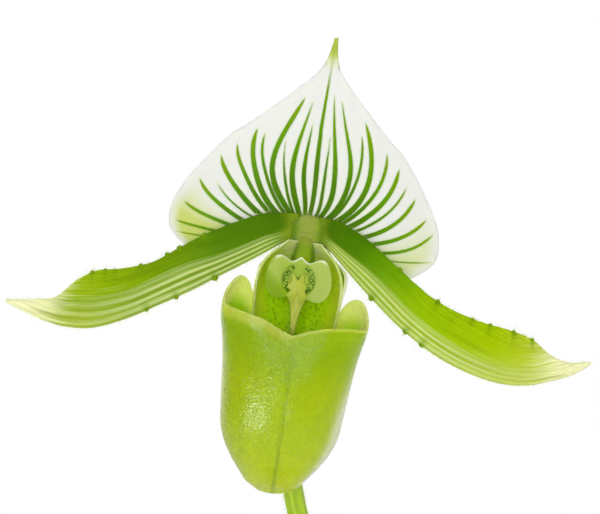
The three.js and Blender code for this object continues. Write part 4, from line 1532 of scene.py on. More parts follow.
@dataclass
class Lip:
    """The slipper-shaped pouch, the trough that joins it to the centre, and the keel inside."""

    skin: LipFinish = LipFinish()
    trough_skin: TroughFinish = TroughFinish()
    keel_skin: KeelFinish = KeelFinish()
    middle: float = 0.5
    heights: tuple = (-50.5, -50.0, -48.5, -46.6, -44.6, -41.8, -38.7, -35, -31, -27, -23, -18, -14, -10)
    half_widths: tuple = (0.3, 2.4, 4.9, 6.5, 8.1, 9.8, 11, 11.5, 11.9, 12.3, 12.9, 13.9, 13.6, 12.4)
    fronts: tuple = (
        -12.2, -14.2, -17, -19.4, -21.2, -22.6, -23.6, -23.9, -23.5, -22.6, -21.2, -19.4, -18.4, -17.6,
    )
    backs: tuple = (-11.6, -9.8, -7.6, -5.9, -4.4, -3, -1.7, -0.8, -0.1, 0.4, 0.8, 1.2, 1.2, 0.8)
    rim_turns: tuple = (0, 4, 9, 20, 32, 50, 72, 84, 92, 100, 112, 124, 136, 146, 156, 180)
    left_rim: tuple = (
        -20.7, -20.3, -19.7, -18.5, -17.9, -17.3, -16.8, -16.0, -14.6, -13.0, -11.3, -11.2, -12.4, -15.2, -21.0,
        -24.5,
    )
    right_rim: tuple = (
        -20.7, -20.2, -19.6, -18.8, -18.4, -18.1, -18.1, -17.8, -16.6, -14.8, -13.0, -12.7, -13.5, -15.9, -21.5,
        -24.5,
    )
    squareness: float = 0.86
    least_half: float = 0.15
    thick: float = 1.1
    rim_thick: float = 0.55
    crease_at: float = 0.9
    fold: float = 0.9
    fold_width: float = 4.0
    fold_depth: float = 10
    roll: float = 0.8
    roll_depth: float = 3.6
    rings: int = 84
    around: int = 168
    trough_middle: float = 0.4
    trough_heights: tuple = (-26, -21, -17, -13, -9, -6.3, -4.4, -3.0)
    trough_radii: tuple = (7.2, 7.6, 7.9, 8.1, 7.7, 6.2, 4.3, 3.0)
    trough_backs: tuple = (1.1, 1.7, 2.3, 2.7, 2.3, 1.1, -0.5, -1.8)
    trough_wraps: tuple = (94, 98, 102, 104, 104, 102, 98, 92)
    keel_heights: tuple = (-13.4, -14.6, -15.8, -17.2, -18.6, -20.5, -24)
    keel_half_widths: tuple = (1.95, 1.5, 1.1, 0.78, 0.6, 0.5, 0.4)
    keel_fronts: tuple = (-10.3, -9.8, -9.0, -7.9, -6.7, -5.0, -1.2)
    keel_middle: float = 0.4
    keel_back: float = 1.6

    def rim_height(self, turn: Array) -> Array:
        """Height of the rim at a turn in radians from the front."""
        degrees = np.degrees(np.minimum(turn, 2 * np.pi - turn))
        left = look_up(self.rim_turns, self.left_rim, degrees)
        right = look_up(self.rim_turns, self.right_rim, degrees)
        return np.where(turn < np.pi, right, left)

    def wall(self, turn: Array, height: Array, inset: Array) -> Array:
        """Points of the pouch's wall.

        Args:
            turn: How far round it each one is, in radians from the front.
            height: How high each one is.
            inset: How far each one is moved in.

        Returns:
            The points, in the flower's frame.
        """
        front = look_up(self.heights, self.fronts, height)
        back = look_up(self.heights, self.backs, height)
        half = np.maximum(look_up(self.heights, self.half_widths, height) - inset, self.least_half)
        depth = np.maximum((back - front) / 2 - inset, self.least_half)
        side, ahead = (np.sign(x) * np.abs(x) ** self.squareness for x in (np.sin(turn), np.cos(turn)))
        return np.stack([self.middle + half * side, (front + back) / 2 - depth * ahead, height], -1)

    def pouch(self) -> Form:
        """Rings up the outside, over the rounded rim, and down the inside.

        Returns:
            The form.
        """
        toe = self.heights[0]
        turn = np.arange(self.around) / self.around * 2 * np.pi
        rim = self.rim_height(turn)
        climb = np.linspace(0.06, 1, self.rings) ** 1.7
        roll = np.linspace(0, np.pi, 9)[1:-1]
        lift = self.thick * 1.1
        outer = toe + (rim - toe) * climb[:, None]
        over = rim + 0.2 * np.sin(roll)[:, None]
        inner = (toe + lift + (rim - toe - lift) * climb[:, None])[::-1]
        height = np.concatenate([outer, over, inner])
        below = np.maximum(rim - height, 0)
        thick = lerp(self.rim_thick, self.thick, rise(below, 0.0, 6.0))
        share = np.concatenate([np.zeros(self.rings), (1 - np.cos(roll)) / 2, np.ones(self.rings)])
        inset = share[:, None] * thick
        turns = np.broadcast_to(turn, height.shape)
        points = self.wall(turns, height, inset)
        off = np.abs(points[..., 0] - self.crease_at)
        front = np.cos(turns) > 0
        outside = np.concatenate([np.ones(self.rings), np.linspace(1, 0, len(roll)), np.zeros(self.rings)])
        crease = 0.16 * hump(off, 0.45) * front * (outside > 0.9)[:, None]
        fold = self.fold * hump(points[..., 0] - self.crease_at, self.fold_width)
        fold = fold * (1 - rise(below, 0, self.fold_depth))
        left = rise(-points[..., 0], -1.0, 2.0)
        rolled = self.roll * left * (1 - rise(below, 0, self.roll_depth)) ** 2
        points[..., 1] += (fold + rolled) * front * rise(np.cos(turns), 0, 0.5)
        waves = 0.10 * np.sin(points[..., 0] * 0.9 + height * 0.25) * np.sin(height * 0.42 + 1) * front
        points[..., 1] += crease + waves
        return loft(
            points,
            outer=outside[:, None],
            below=below,
            midline=np.where(front, off, NO_VEIN),
            # Painted highlight: where the finish paints a pale band under the left front rim
            band=front * left * (1 - rise(below, 0.8, 2.4)),
            # Read by the finish to paint shade on the pouch's left side
            side=(points[..., 0] - self.middle) / 14,
            # Painted sheen: where the finish paints a pale band on the lower right side near the toe
            sheen=hump(np.degrees(turns) - 80, 22) * hump(height + 39, 9.5),
        )

    def trough_at(self, s: Array, t: Array) -> Array:
        """The trough's middle surface: s runs up it and t from its left to its right edge."""
        radius = through(self.trough_radii, s)
        turn = np.radians(t * through(self.trough_wraps, s))
        back = through(self.trough_backs, s) - radius * (1 - np.cos(turn))
        side = self.trough_middle + radius * np.sin(turn)
        return np.stack([side, back, through(self.trough_heights, s)], -1)

    def trough_thickness(self, s: Array, t: Array) -> Array:
        """The trough's thickness, least along its edges and its top."""
        return lerp(0.8, 0.25, np.maximum(np.abs(t) ** 4, rise(s, 0.75, 1.0)))

    def trough(self) -> Form:
        """The upright half tube that is open to the front.

        Returns:
            The form.
        """
        rows = np.linspace(0, 1, 90)
        form = blade(self.trough_at, self.trough_thickness, rows, crowded(121), rounding=0.03)
        along, across = form.marks["along"], np.abs(form.marks["across"])
        floor = rise(across, 0.62, 0.30) * rise(along, 0.72, 0.45)
        # edge: the free edges and the top, which the finish paints whitish, partly their pale margin and partly
        # painted highlight
        edge = np.maximum(rise(across, 0.91, 0.99) * 0.7, rise(along, 0.66, 0.85))
        # The mark side paints the walls paler towards their sides: painted light
        return form.marked(edge=edge, floor=floor, side=rise(across, 0.35, 0.75))

    def keel(self) -> Form:
        """A rounded ridge from under the staminode down into the pouch.

        Returns:
            The form.
        """
        share = np.linspace(0, 1, 40)[:, None]
        theta = np.linspace(0, np.pi, 21)
        half, front = through(self.keel_half_widths, share), through(self.keel_fronts, share)
        height = through(self.keel_heights, share) + 0 * theta
        depth = np.sin(theta) ** 0.6
        x = self.keel_middle + half * np.cos(theta)
        y = self.keel_back + (front - self.keel_back) * depth
        return loft(np.stack([x, y, height], -1), crest=depth**4)

    def build(self) -> list[bpy.types.Object]:
        """Makes the lip's three parts, which are grown together.

        Returns:
            The objects, in the order that they are made in.
        """
        parts = (
            ("pouch", self.pouch(), self.skin),
            ("trough", self.trough(), self.trough_skin),
            ("keel", self.keel(), self.keel_skin),
        )
        return [
            piece(form.placed(from_flower_frame), f"lip_{name}", finish.material(), Slot.LIP, "lip")
            for name, form, finish in parts
        ]


def mirrored(half: Sequence[Sequence[float]]) -> Array:
    """A whole outline from the half that lies on the right of the middle."""
    return np.array([*half, *[(-side, up) for side, up in half[-2:0:-1]]], float)


def closed(corners: Array, count: int) -> Array:
    """Smooth points round a closed outline."""
    looped = np.concatenate([corners[-2:], corners, corners[:3]])
    place = np.arange(count) / count * len(corners)
    i = place.astype(int)
    return hermite(looped, i + 2, place - i)


@dataclass
class Column:
    """The column: a stalk with the shield-shaped staminode, stigma and anthers."""

    finish: ColumnFinish = ColumnFinish()
    line: tuple = (
        (0.4, 5.2, -1.6), (0.5, 1.2, -2.9), (0.55, -3.0, -4.9), (0.5, -5.8, -7.2), (0.2, -7.2, -9.2),
    )
    radii: tuple = (1.6, 1.6, 1.9, 2.3, 2.0)
    pad_at: tuple = (0.7, 0.5, -0.8)
    pad: tuple = (3.5, 1.0, 2.95)
    pad_tilt: float = 0.3
    shield_at: tuple = (0.2, -9.6, -10.1)
    shield: tuple = (
        (0.0, 4.15), (0.8, 3.6), (1.7, 3.2), (2.7, 3.7), (3.9, 4.1), (5.1, 3.5), (5.9, 1.6), (6.2, -0.5),
        (5.9, -2.3), (5.0, -3.5), (3.9, -3.95), (2.7, -3.8), (1.4, -3.4), (0.0, -3.2),
    )
    thick: float = 1.0
    dish: float = 0.7
    dish_radius: float = 6
    boss: tuple = (
        (-1.9, -3.3), (-1.6, -2.8), (-1.35, -2.35), (-1.8, -1.85), (-1.8, -1.0), (-1.35, -0.5), (-1.45, 0.3),
        (-1.2, 0.95), (-0.78, 0.8), (-0.45, 0.15), (-0.1, -0.12), (0.2, 0.15), (0.42, 0.85), (0.78, 1.0),
        (1.1, 0.5), (1.15, -0.4), (1.6, -0.9), (1.75, -1.5), (1.5, -2.05), (1.75, -2.6), (2.0, -3.2),
        (1.85, -3.8), (1.45, -4.7), (1.15, -5.8), (0.9, -7.1), (0.7, -8.5), (0.6, -10.0), (0.2, -10.6),
        (-0.2, -10.0), (-0.35, -8.5), (-0.5, -7.1), (-0.75, -5.8), (-1.1, -4.7), (-1.6, -3.9),
    )
    tail_from: float = -3.4
    tail_slope: float = 0.72
    boss_middle: tuple = (0.05, -1.9)
    boss_steps: tuple = (
        (0.05, 0.12), (0.4, 0.1), (0.7, 0.04), (0.86, 0), (0.95, -0.12), (0.99, -0.3), (1, -0.55), (1, -1.2),
    )
    proud: float = 0.7
    ring_radius: float = 2.5

    def staminode(self) -> Form:
        """The shield: its dished face, rolled edge and back.

        Returns:
            The form.
        """
        outline = closed(mirrored(self.shield), 240)
        x, y, z = self.shield_at
        face = np.linspace(0.03, 1, 44)
        edge = np.linspace(0, np.pi, 9)[1:-1]
        shares = np.concatenate([face, 1 - 0.012 + 0.012 * np.cos(edge), np.linspace(0.985, 0.05, 16)])
        depth = np.concatenate([np.zeros(44), self.thick / 2 * (1 - np.cos(edge)), np.full(16, self.thick)])
        flat = outline[None] * shares[:, None, None]
        side, up = flat[..., 0], flat[..., 1]
        radius = np.hypot(side, up)
        lift = self.dish * (radius / self.dish_radius) ** 2
        front = (np.arange(len(shares)) < 44)[:, None]
        ring = np.hypot(side, up + 0.2)
        lobes = 0.45 * hump(np.abs(side) - 3.9, 1.7) * hump(up, 3.2)
        rim = 0.32 * hump(1 - shares[:, None], 0.05) * rise(up, 1.2, 3.2)
        pit = 0.30 * hump(ring - self.ring_radius, 0.55)
        shape = (lobes + rim - pit) * front
        points = np.stack([x + side, y + depth[:, None] - lift - shape, z + up], -1)
        turn = np.degrees(np.arctan2(side, up + 0.2))
        gaps = rise(np.abs(turn), 14, 30) * (1 - rise(np.abs(turn), 138, 158))
        middle = hump(radius, 3.6) * (1 - 0.5 * rise(up, 2.5, 3.6))
        green_left = rise(-up - side * 0.5, 0.6, 4.2) * 0.95
        green_low = np.maximum(green_left, rise(1.2 - side, -2.4, 0.6) * rise(-up, 0.6, 2.4) * 0.9)
        # Painted highlight along the top edge of the shield
        white = rise(shares[:, None], 0.88, 0.96) * rise(up, 2.6, 3.3) * (1 - rise(np.abs(side), 4.2, 5.2))
        return loft(
            points,
            middle=np.maximum(middle * 0.8, green_low),
            deep=rise(-side - up * 0.9, 3.6, 6.6),
            ring=hump(ring - self.ring_radius, 0.72) * gaps * front,
            white=white * (0.9 * front + 0.4),
            dot=hump(np.hypot(side, up + 0.05), 0.42) * front,
        )

    def figure(self) -> Form:
        """The toothed boss in front of the shield.

        Returns:
            The form.
        """
        outline = closed(np.array(self.boss), 260)
        x, y, z = self.shield_at
        middle = np.array(self.boss_middle)
        rings = []
        for share, sink in self.boss_steps:
            flat = middle + (outline - middle) * share
            back = self.tail_slope * np.maximum(self.tail_from - flat[:, 1], 0)
            front = y - self.proud - sink - 0.15 * hump(flat[:, 0], 0.8) + back
            rings.append(np.stack([x + flat[:, 0], front, z + flat[:, 1]], -1))
        form = loft(np.array(rings))
        # tail: where the boss runs down into the keel, painted lighter against its shade
        return form.marked(boss=1.0, tail=rise(z - form.points[:, 2], 3.6, 7.0))

    def stalk(self) -> Form:
        """The neck above the shield, with a dark strip on each side of its front.

        Returns:
            The form.
        """
        form = tube(self.line, self.radii, 48, 50)
        height = form.points[:, 2]
        off = form.points[:, 0] - look_up((-10, -5, 0), (0.2, 0.55, 0.5), height)
        wide = look_up((-10, -5, -2), (2.2, 2.0, 1.4), height)
        strip = rise(np.abs(off) / wide, 0.45, 0.8) * (1 - rise(height, -3.6, -2.2))
        return form.marked(stalk=1.0, strip=strip, haze=rise(height, -4.6, -2.6))

    def collar(self) -> Form:
        """The pale downy pad between the petals' feet.

        Returns:
            The form.
        """
        form = bead(self.pad_at, self.pad, 24, 40)
        draw = np.random.default_rng(15)
        count = 420
        turn = draw.uniform(0, 2 * np.pi, count)
        reach = np.sqrt(draw.uniform(0, 0.96, count))
        flat = np.stack([np.cos(turn), np.sin(turn)]) * reach
        depth = -np.sqrt(1 - reach**2)
        ways = np.stack([flat[0], depth, flat[1]], -1)
        roots = ways * self.pad + self.pad_at
        hairs = bristles(roots, ways / np.array(self.pad), draw.uniform(0.5, 1.2, count), 0.06, 16)
        side = rise(np.abs(form.points[:, 0] - self.pad_at[0]), 1.0, 2.6)
        skin = form.marked(stalk=1.0, strip=side * 0.8, haze=0.95 - side * 0.95)
        far = rise(np.abs(hairs.points[:, 0] - self.pad_at[0]), 1.0, 2.6)
        down = hairs.marked(stalk=1.0, strip=far * 0.6, haze=0.95 - far * 0.95, white=0.45 - far * 0.4)
        whole = joined(skin, down)
        whole.points[:, 1] += self.pad_tilt * whole.points[:, 2]
        return whole

    def ring(self) -> Form:
        """The rows of shining beads on both sides of the boss.

        Returns:
            The form.
        """
        x, y, z = self.shield_at
        parts = []
        draw = np.random.default_rng(18)
        for row, radius in enumerate((1.75, 2.25, 2.8)):
            first, last = ((38, 118), (26, 130), (34, 118))[row]
            for turn in np.radians(np.arange(first, last, math.degrees(0.56 / radius))):
                for hand in (-1, 1):
                    reach = radius + draw.uniform(-0.12, 0.12)
                    bend = turn + draw.uniform(-0.06, 0.06)
                    side, up = hand * reach * math.sin(bend), reach * math.cos(bend) - 0.3
                    front = y - self.dish * (math.hypot(side, up) / self.dish_radius) ** 2 + 0.2
                    size = draw.uniform(0.18, 0.30)
                    ball = bead((x + side, front, z + up), (size, 0.34, size * draw.uniform(0.8, 1.2)), 7, 10)
                    parts.append(ball.marked(bead=draw.uniform(0.6, 1.0)))
        return joined(*parts)

    def build(self) -> list[bpy.types.Object]:
        """Makes the column as one piece.

        Returns:
            The objects, in the order that they are made in.
        """
        stigma = bead((0.3, -5.6, -11.6), (3.1, 1.8, 2.8), 14, 24).marked(stalk=0.6)
        anthers = [bead((side, -6.6, -8.2), (1.5, 1.8, 1.5), 12, 20).marked(boss=0.8) for side in (-3.6, 4.0)]
        whole = joined(
            self.staminode(), self.figure(), self.ring(), self.stalk(), self.collar(), stigma, *anthers
        ).placed(from_flower_frame)
        return [piece(whole, "column_staminode", self.finish.material(), Slot.COLUMN, "column", sharp=75)]


def down(line: Sequence, radius: float, count: int, seed: int, span: tuple = (0.02, 0.98)) -> Form:
    """Short hairs that stand off a stem.

    Args:
        line: The stem's middle line.
        radius: Its radius.
        count: How many hairs there are.
        seed: Starts the run of random numbers.
        span: The part of its length that has hairs.

    Returns:
        The hairs.
    """
    draw = np.random.default_rng(seed)
    share = draw.uniform(*span, count)
    middle = course(line, share)
    along = unit(course(line, share + 0.01) - course(line, share - 0.01))
    side = unit(np.cross(along, [0.31, 0.95, 0.05]))
    turn = draw.uniform(0, 2 * np.pi, count)[:, None]
    out = np.cos(turn) * side + np.sin(turn) * np.cross(along, side)
    return bristles(middle + out * radius, out + 0.2 * along, draw.uniform(0.35, 0.9, count), 0.07, seed + 1)


@dataclass
class Stem:
    """The scape, the bract at its top and the ribbed ovary that carries the flower."""

    finish: StemFinish = StemFinish()
    foot: tuple = (5, -7, 90.3)
    foot_radius: float = 2.4
    top_radius: float = 2.0
    ovary: tuple = (
        (0.4, 4.4, -0.8), (0.2, 8.6, -2.6), (-1.2, 13.2, -9), (-3.4, 16.2, -22),
        (-3.9, 17.4, -38), (-2.5, 17.8, -50.4), (0.0, 18, -62), JOINT,
    )
    ovary_radii: tuple = (3.3, 3.5, 3.1, 2.7, 2.2, 1.9, 1.9, 1.9)
    ribs: int = 6
    rib: float = 0.07
    bract_below: float = 3
    bract_length: float = 18
    bract_radius: float = 3.1
    bract_wrap: float = 118
    bract_facing: float = 200
    bract_lean: float = -0.2
    bract_thick: float = 0.8
    bract_ridges: float = 26
    bract_hairs: int = 260
    scape_hairs: int = 2600
    ovary_hairs: int = 1100
    closing: tuple = (1, 1, 0.86, 0.62, 0.34, 0.05)
    flare: tuple = (-0.35, 0.3, 1.0, 1.7, 2.4, 3.2)

    def scape(self) -> bpy.types.Object:
        """The flower stalk, downy, and flushed darker towards its foot.

        Returns:
            The object.
        """
        x, y, low = self.foot
        top = CENTRE + JOINT
        share = np.linspace(0, 1, 7)
        heights = low + (top[2] - GAP - low) * share
        line = np.stack([x + (top[0] - x) * share**2, y + (top[1] - y) * share, heights], -1)
        form = tube(line, (self.foot_radius, self.top_radius), 32, 150)
        form = form.marked(flush=1 - rise(form.marks["along"], 0.0, 0.9), groove=0.0)
        hairs = down(line, (self.foot_radius + self.top_radius) / 2 - 0.05, self.scape_hairs, 21)
        return piece(joined(form, hairs), "scape_stalk", self.finish.material(), Slot.STEM, "scape")

    def ribbed(self, s: Array, turn: Array) -> Array:
        """The factor that the ribs put on the ovary's radius."""
        return 1 - self.rib * np.cos(self.ribs * turn)

    def ovary_piece(self) -> bpy.types.Object:
        """The ovary, with six ribs and darker grooves between them."""
        form = tube(self.ovary, self.ovary_radii, 72, 110, self.ribbed)
        groove = 0.5 + 0.5 * np.cos(self.ribs * form.marks["turn"] * 2 * np.pi)
        hairs = down(self.ovary, 2.2, self.ovary_hairs, 23, (0.25, 0.98))
        whole = joined(form.marked(groove=groove * 0.8, flush=0.0), hairs).placed(at_centre)
        return piece(whole, "ovary_ribbed", self.finish.material(), Slot.STEM, "ovary")

    def bract_at(self, s: Array, t: Array) -> Array:
        """The bract's middle surface: s runs up it and t round the ovary.

        Args:
            s: How far along, from 0 to 1.
            t: How far across, from -1 to 1.

        Returns:
            The points.
        """
        lean = unit(np.array([self.bract_lean, 0, 1.0]))
        foot = CENTRE + JOINT - lean * self.bract_below
        turn = np.radians(self.bract_facing + t * self.bract_wrap * through(self.closing, s))
        reach = self.bract_radius + through(self.flare, s)
        middle = foot + lean * (s * self.bract_length)[..., None]
        out = np.stack([np.cos(turn), np.sin(turn), np.zeros_like(turn)], -1)
        return middle + out * reach[..., None]

    def bract_veins(self, s: Array, t: Array) -> Array:
        """Low ridges along the bract."""
        return 0.05 * np.cos(t * self.bract_ridges)

    def bract(self) -> bpy.types.Object:
        """The pointed sheath wrapped round the ovary's foot.

        Returns:
            The object.
        """
        form = blade(self.bract_at, self.bract_thick, np.linspace(0, 1, 50), crowded(61), self.bract_veins)
        groove = 0.5 - 0.5 * np.cos(form.marks["across"] * self.bract_ridges)
        draw = np.random.default_rng(31)
        count = self.bract_hairs
        s = draw.uniform(0.02, 0.99, count)
        t = np.where(draw.uniform(size=count) < 0.5, 1.0, -1.0)
        root = self.bract_at(s, t)
        ways = root - self.bract_at(s, t * 0.9)
        fringe = bristles(root, ways, draw.uniform(0.4, 1.0, count), 0.06, 32)
        whole = joined(form.marked(groove=groove * 0.6), fringe)
        return piece(whole, "bract_sheath", self.finish.material(), Slot.STEM, "floral_bract")

    def build(self) -> list[bpy.types.Object]:
        """Makes the three pieces."""
        return [self.scape(), self.ovary_piece(), self.bract()]


@dataclass(frozen=True)
class Root:
    """A root's direction in degrees, its reach, and how deep it ends.

    One without a depth humps over the bark.
    """

    turn: float
    reach: float
    depth: float | None = None


@dataclass(frozen=True)
class Leaf:
    """A leaf: its side of the fan, length, width, slopes at base and tip, sideways swing and roll."""

    side: int
    length: float
    width: float
    rise: float
    droop: float
    swing: float
    roll: float


@dataclass
class Growth:
    """A fan of leaves on a short stem with its roots."""

    name: str
    at: tuple[float, float]
    fan: float
    girth: float
    roots: tuple[Root, ...]
    leaves: tuple[Leaf, ...]
    leaf_finish: LeafFinish = LeafFinish()
    root_finish: RootFinish = RootFinish()
    thick: float = 1.3
    edge_thick: float = 0.8
    seat_height: float = 85.5
    step_height: float = 3
    base_half: float = 10
    base_step: float = 1.8
    half_widths: tuple = (0.31, 0.41, 0.47, 0.5, 0.495, 0.46, 0.38, 0.24, 0.03)
    folds: tuple = (54, 50, 34, 22, 17, 14, 12, 10, 9, 8, 8)
    wave: float = 0.7
    waves: float = 9
    heights: tuple = (64, 68, 75, 83, 88, 93, 98)
    reaches: tuple = (2.5, 6, 8.6, 8.2, 6.4, 4.6, 3.6)
    flatness: float = 0.66
    least_across: float = 3.5
    root_radius: float = 2
    root_hairs: int = 500
    taper: tuple = (1, 1.05, 1, 0.95, 0.8)
    deep: tuple = ((0.04, 74, 0), (0.3, 72, 0), (0.7, 62, 2), (0.9, 48, -2))
    deep_sway: float = 3
    over: tuple = ((0.06, 78, 0), (0.3, 82.5, 0), (0.52, 89, 1), (0.76, 88.5, 3), (0.94, 82, 4), (1, 70, 4))

    def knobs(self, seed: int, along: Array, turn: Array) -> Array:
        """The factor that its knobs put on a root's radius."""
        return 1 + 0.05 * np.sin(23 * along + seed) + 0.03 * np.sin(3 * turn + 31 * along)

    def root_form(self, root: Root, seed: int) -> Form:
        """One root, slightly knobbly, with felt hairs where it shows.

        Args:
            root: Its direction, reach and depth.
            seed: Tells its knobs and hairs from the other roots'.

        Returns:
            The root's form.
        """
        turn = math.radians(root.turn)
        c, s = math.cos(turn), math.sin(turn)
        stops = (*self.deep, (1, root.depth, self.deep_sway)) if root.depth else self.over
        x, y = self.at
        line = [
            (x + root.reach * share * c - sway * s, y + root.reach * share * s + sway * c, z)
            for share, z, sway in stops
        ]
        radii = [share * self.root_radius * math.sqrt(self.girth) for share in self.taper]
        form = tube(line, radii, 20, 60, partial(self.knobs, seed))
        if root.depth:
            return form
        return joined(form, down(line, radii[0] * 0.95, self.root_hairs, 50 + seed, (0.2, 0.9)))

    def stem(self) -> Form:
        """The short stem that carries the fan, ringed by old sheaths.

        Returns:
            The form.
        """
        share = np.linspace(0, 1, 60)
        height = through(self.heights, share)[:, None]
        reach = through(self.reaches, share)[:, None]
        turn = circle(64)
        rings = 1 - 0.03 * (np.sin(share * 60) > 0.6)[:, None]
        long = reach * self.girth * rings * np.cos(turn)
        short = np.maximum(reach * self.flatness, self.least_across) * self.girth * rings * np.sin(turn)
        fan = math.radians(self.fan)
        cos, sin = math.cos(fan), math.sin(fan)
        x = self.at[0] + long * cos - short * sin
        y = self.at[1] + long * sin + short * cos
        return loft(np.stack([x, y, height + 0 * turn], -1)).marked(stem=1.0)

    def build(self) -> list[bpy.types.Object]:
        """Makes the short stem with its roots, and each leaf.

        Returns:
            The objects, in the order that they are made in.
        """
        roots = [self.root_form(root, i) for i, root in enumerate(self.roots)]
        crown = joined(self.stem(), *roots)
        material = self.root_finish.material()
        made = [piece(crown, f"{self.name}_crown", material, Slot.ROOT, f"crown_{self.name}")]
        for index, leaf in enumerate(self.leaves):
            name, node = f"{self.name}_leaf_{index + 1}", f"leaf_{self.name}_{index + 1}"
            form = Blade(self, leaf, index).form()
            made.append(piece(form, name, self.leaf_finish.material(), Slot.LEAF, node))
        return made


@dataclass
class Blade:
    """One leaf's shape: a folded channel that opens into an arching blade."""

    growth: Growth
    leaf: Leaf
    index: int
    steps: int = 60
    vein_spacing: float = 2.9

    def __post_init__(self) -> None:
        """Lays the leaf's midline from its seat on the short stem to its tip."""
        growth, leaf = self.growth, self.leaf
        seat_height = growth.seat_height + growth.step_height * (self.index // 2)
        seat = float(look_up(growth.heights, growth.reaches, seat_height)) * growth.girth + GAP
        s = np.linspace(0, 1, self.steps + 1)
        slope = np.radians(lerp(leaf.rise, leaf.droop, s**0.92))
        azimuth = np.radians(growth.fan + (180 if leaf.side < 0 else 0) + leaf.swing * s**1.4)
        flat = np.stack([np.cos(azimuth), np.sin(azimuth), np.zeros_like(s)], -1)
        along = np.cos(slope)[:, None] * flat + np.sin(slope)[:, None] * np.array([0, 0, 1.0])
        level = np.stack([-np.sin(azimuth), np.cos(azimuth), np.zeros_like(s)], -1)
        roll = np.radians(leaf.roll * s)[:, None]
        self.across = level * np.cos(roll) + np.cross(along, level) * np.sin(roll)
        self.out = np.cross(along, self.across)
        fan = math.radians(growth.fan)
        off = leaf.side * seat
        x, y = growth.at
        start = np.array([x + off * math.cos(fan), y + off * math.sin(fan), seat_height])
        climb = np.cumsum(along[:-1] * leaf.length / self.steps, axis=0)
        self.middles = start + np.concatenate([np.zeros((1, 3)), climb])

    def half_width(self, s: Array) -> Array:
        """Half the leaf's width along it."""
        growth = self.growth
        base = (growth.base_half - growth.base_step * (self.index // 2)) * growth.girth
        return through([base, base, *[share * self.leaf.width for share in growth.half_widths]], s)

    def between(self, table: Array, s: Array) -> Array:
        """Values at s between those at the midline's steps."""
        place = np.clip(s, 0, 1) * self.steps
        i = np.minimum(place.astype(int), self.steps - 1)
        share = (place - i)[..., None]
        return table[i] * (1 - share) + table[i + 1] * share

    def at(self, s: Array, t: Array) -> Array:
        """The middle surface: s runs out to the tip and t across the leaf.

        Args:
            s: How far along, from 0 to 1.
            t: How far across, from -1 to 1.

        Returns:
            The points.
        """
        growth = self.growth
        fold = np.radians(through(growth.folds, s))
        side = t * self.half_width(s)
        lift = (np.sqrt(side**2 + 1) - 1) * np.sin(fold)
        wave = growth.wave * np.sin(s * growth.waves + np.where(t > 0, 1, 4)) * t**2
        sideways = self.between(self.across, s) * (side * np.cos(fold))[..., None]
        upward = self.between(self.out, s) * (lift + wave)[..., None]
        return self.between(self.middles, s) + sideways + upward

    def thickness(self, s: Array, t: Array) -> Array:
        """Thickness over the leaf, least along its margins."""
        return lerp(self.growth.thick, self.growth.edge_thick, np.abs(t) ** 3)

    def relief(self, s: Array, t: Array) -> Array:
        """The channel over the midrib, lengthwise veins and slight quilting.

        Args:
            s: How far along, from 0 to 1.
            t: How far across, from -1 to 1.

        Returns:
            The points.
        """
        side = t * self.half_width(s)
        channel = -0.45 * hump(side, 0.9) * (1 - rise(s, 0.75, 1.0))
        veins = 0.10 * np.cos(side * 2 * np.pi / self.vein_spacing) * (1 - rise(np.abs(t), 0.7, 1.0))
        quilt = 0.16 * np.sin(s * self.leaf.length * 0.55 + 3 * np.sin(side * 0.5))
        quilt = quilt * np.sin(side * 0.8 + self.index)
        return channel + veins + quilt * (1 - rise(np.abs(t), 0.8, 1.0))

    def form(self) -> Form:
        """The leaf's mesh.

        Returns:
            The form.
        """
        rows = np.linspace(0, 1, 110)
        made = blade(self.at, self.thickness, rows, crowded(47), self.relief, rounding=0.06)
        along, across = made.marks["along"], made.marks["across"]
        return made.marked(
            run=along * self.leaf.length,
            side=across * self.half_width(along),
            seed=3.7 * self.index + 10 * self.growth.girth,
        )


def lumps(points: Array, size: float, seed: int) -> Array:
    """Soft random heights from -1 to 1 over points, with lumps about size across.

    Args:
        points: Where the heights are wanted.
        size: The lumps' size.
        seed: Tells one field from another.

    Returns:
        One height for each point.
    """
    place = points / size
    cell = np.floor(place).astype(np.int64)
    share = place - cell
    share = share * share * (3 - 2 * share)
    total = np.zeros(points.shape[:-1])
    for corner in np.ndindex(2, 2, 2):
        key = (cell + corner) @ np.array([73856093, 19349663, 83492791]) + seed * 977
        key = (key ^ (key >> 13)) * 1274126177 & 0xFFFFFFFF
        weight = np.prod(np.where(np.array(corner) == 1, share, 1 - share), axis=-1)
        total += weight * ((key >> 8) / 2**23 - 1)
    return total


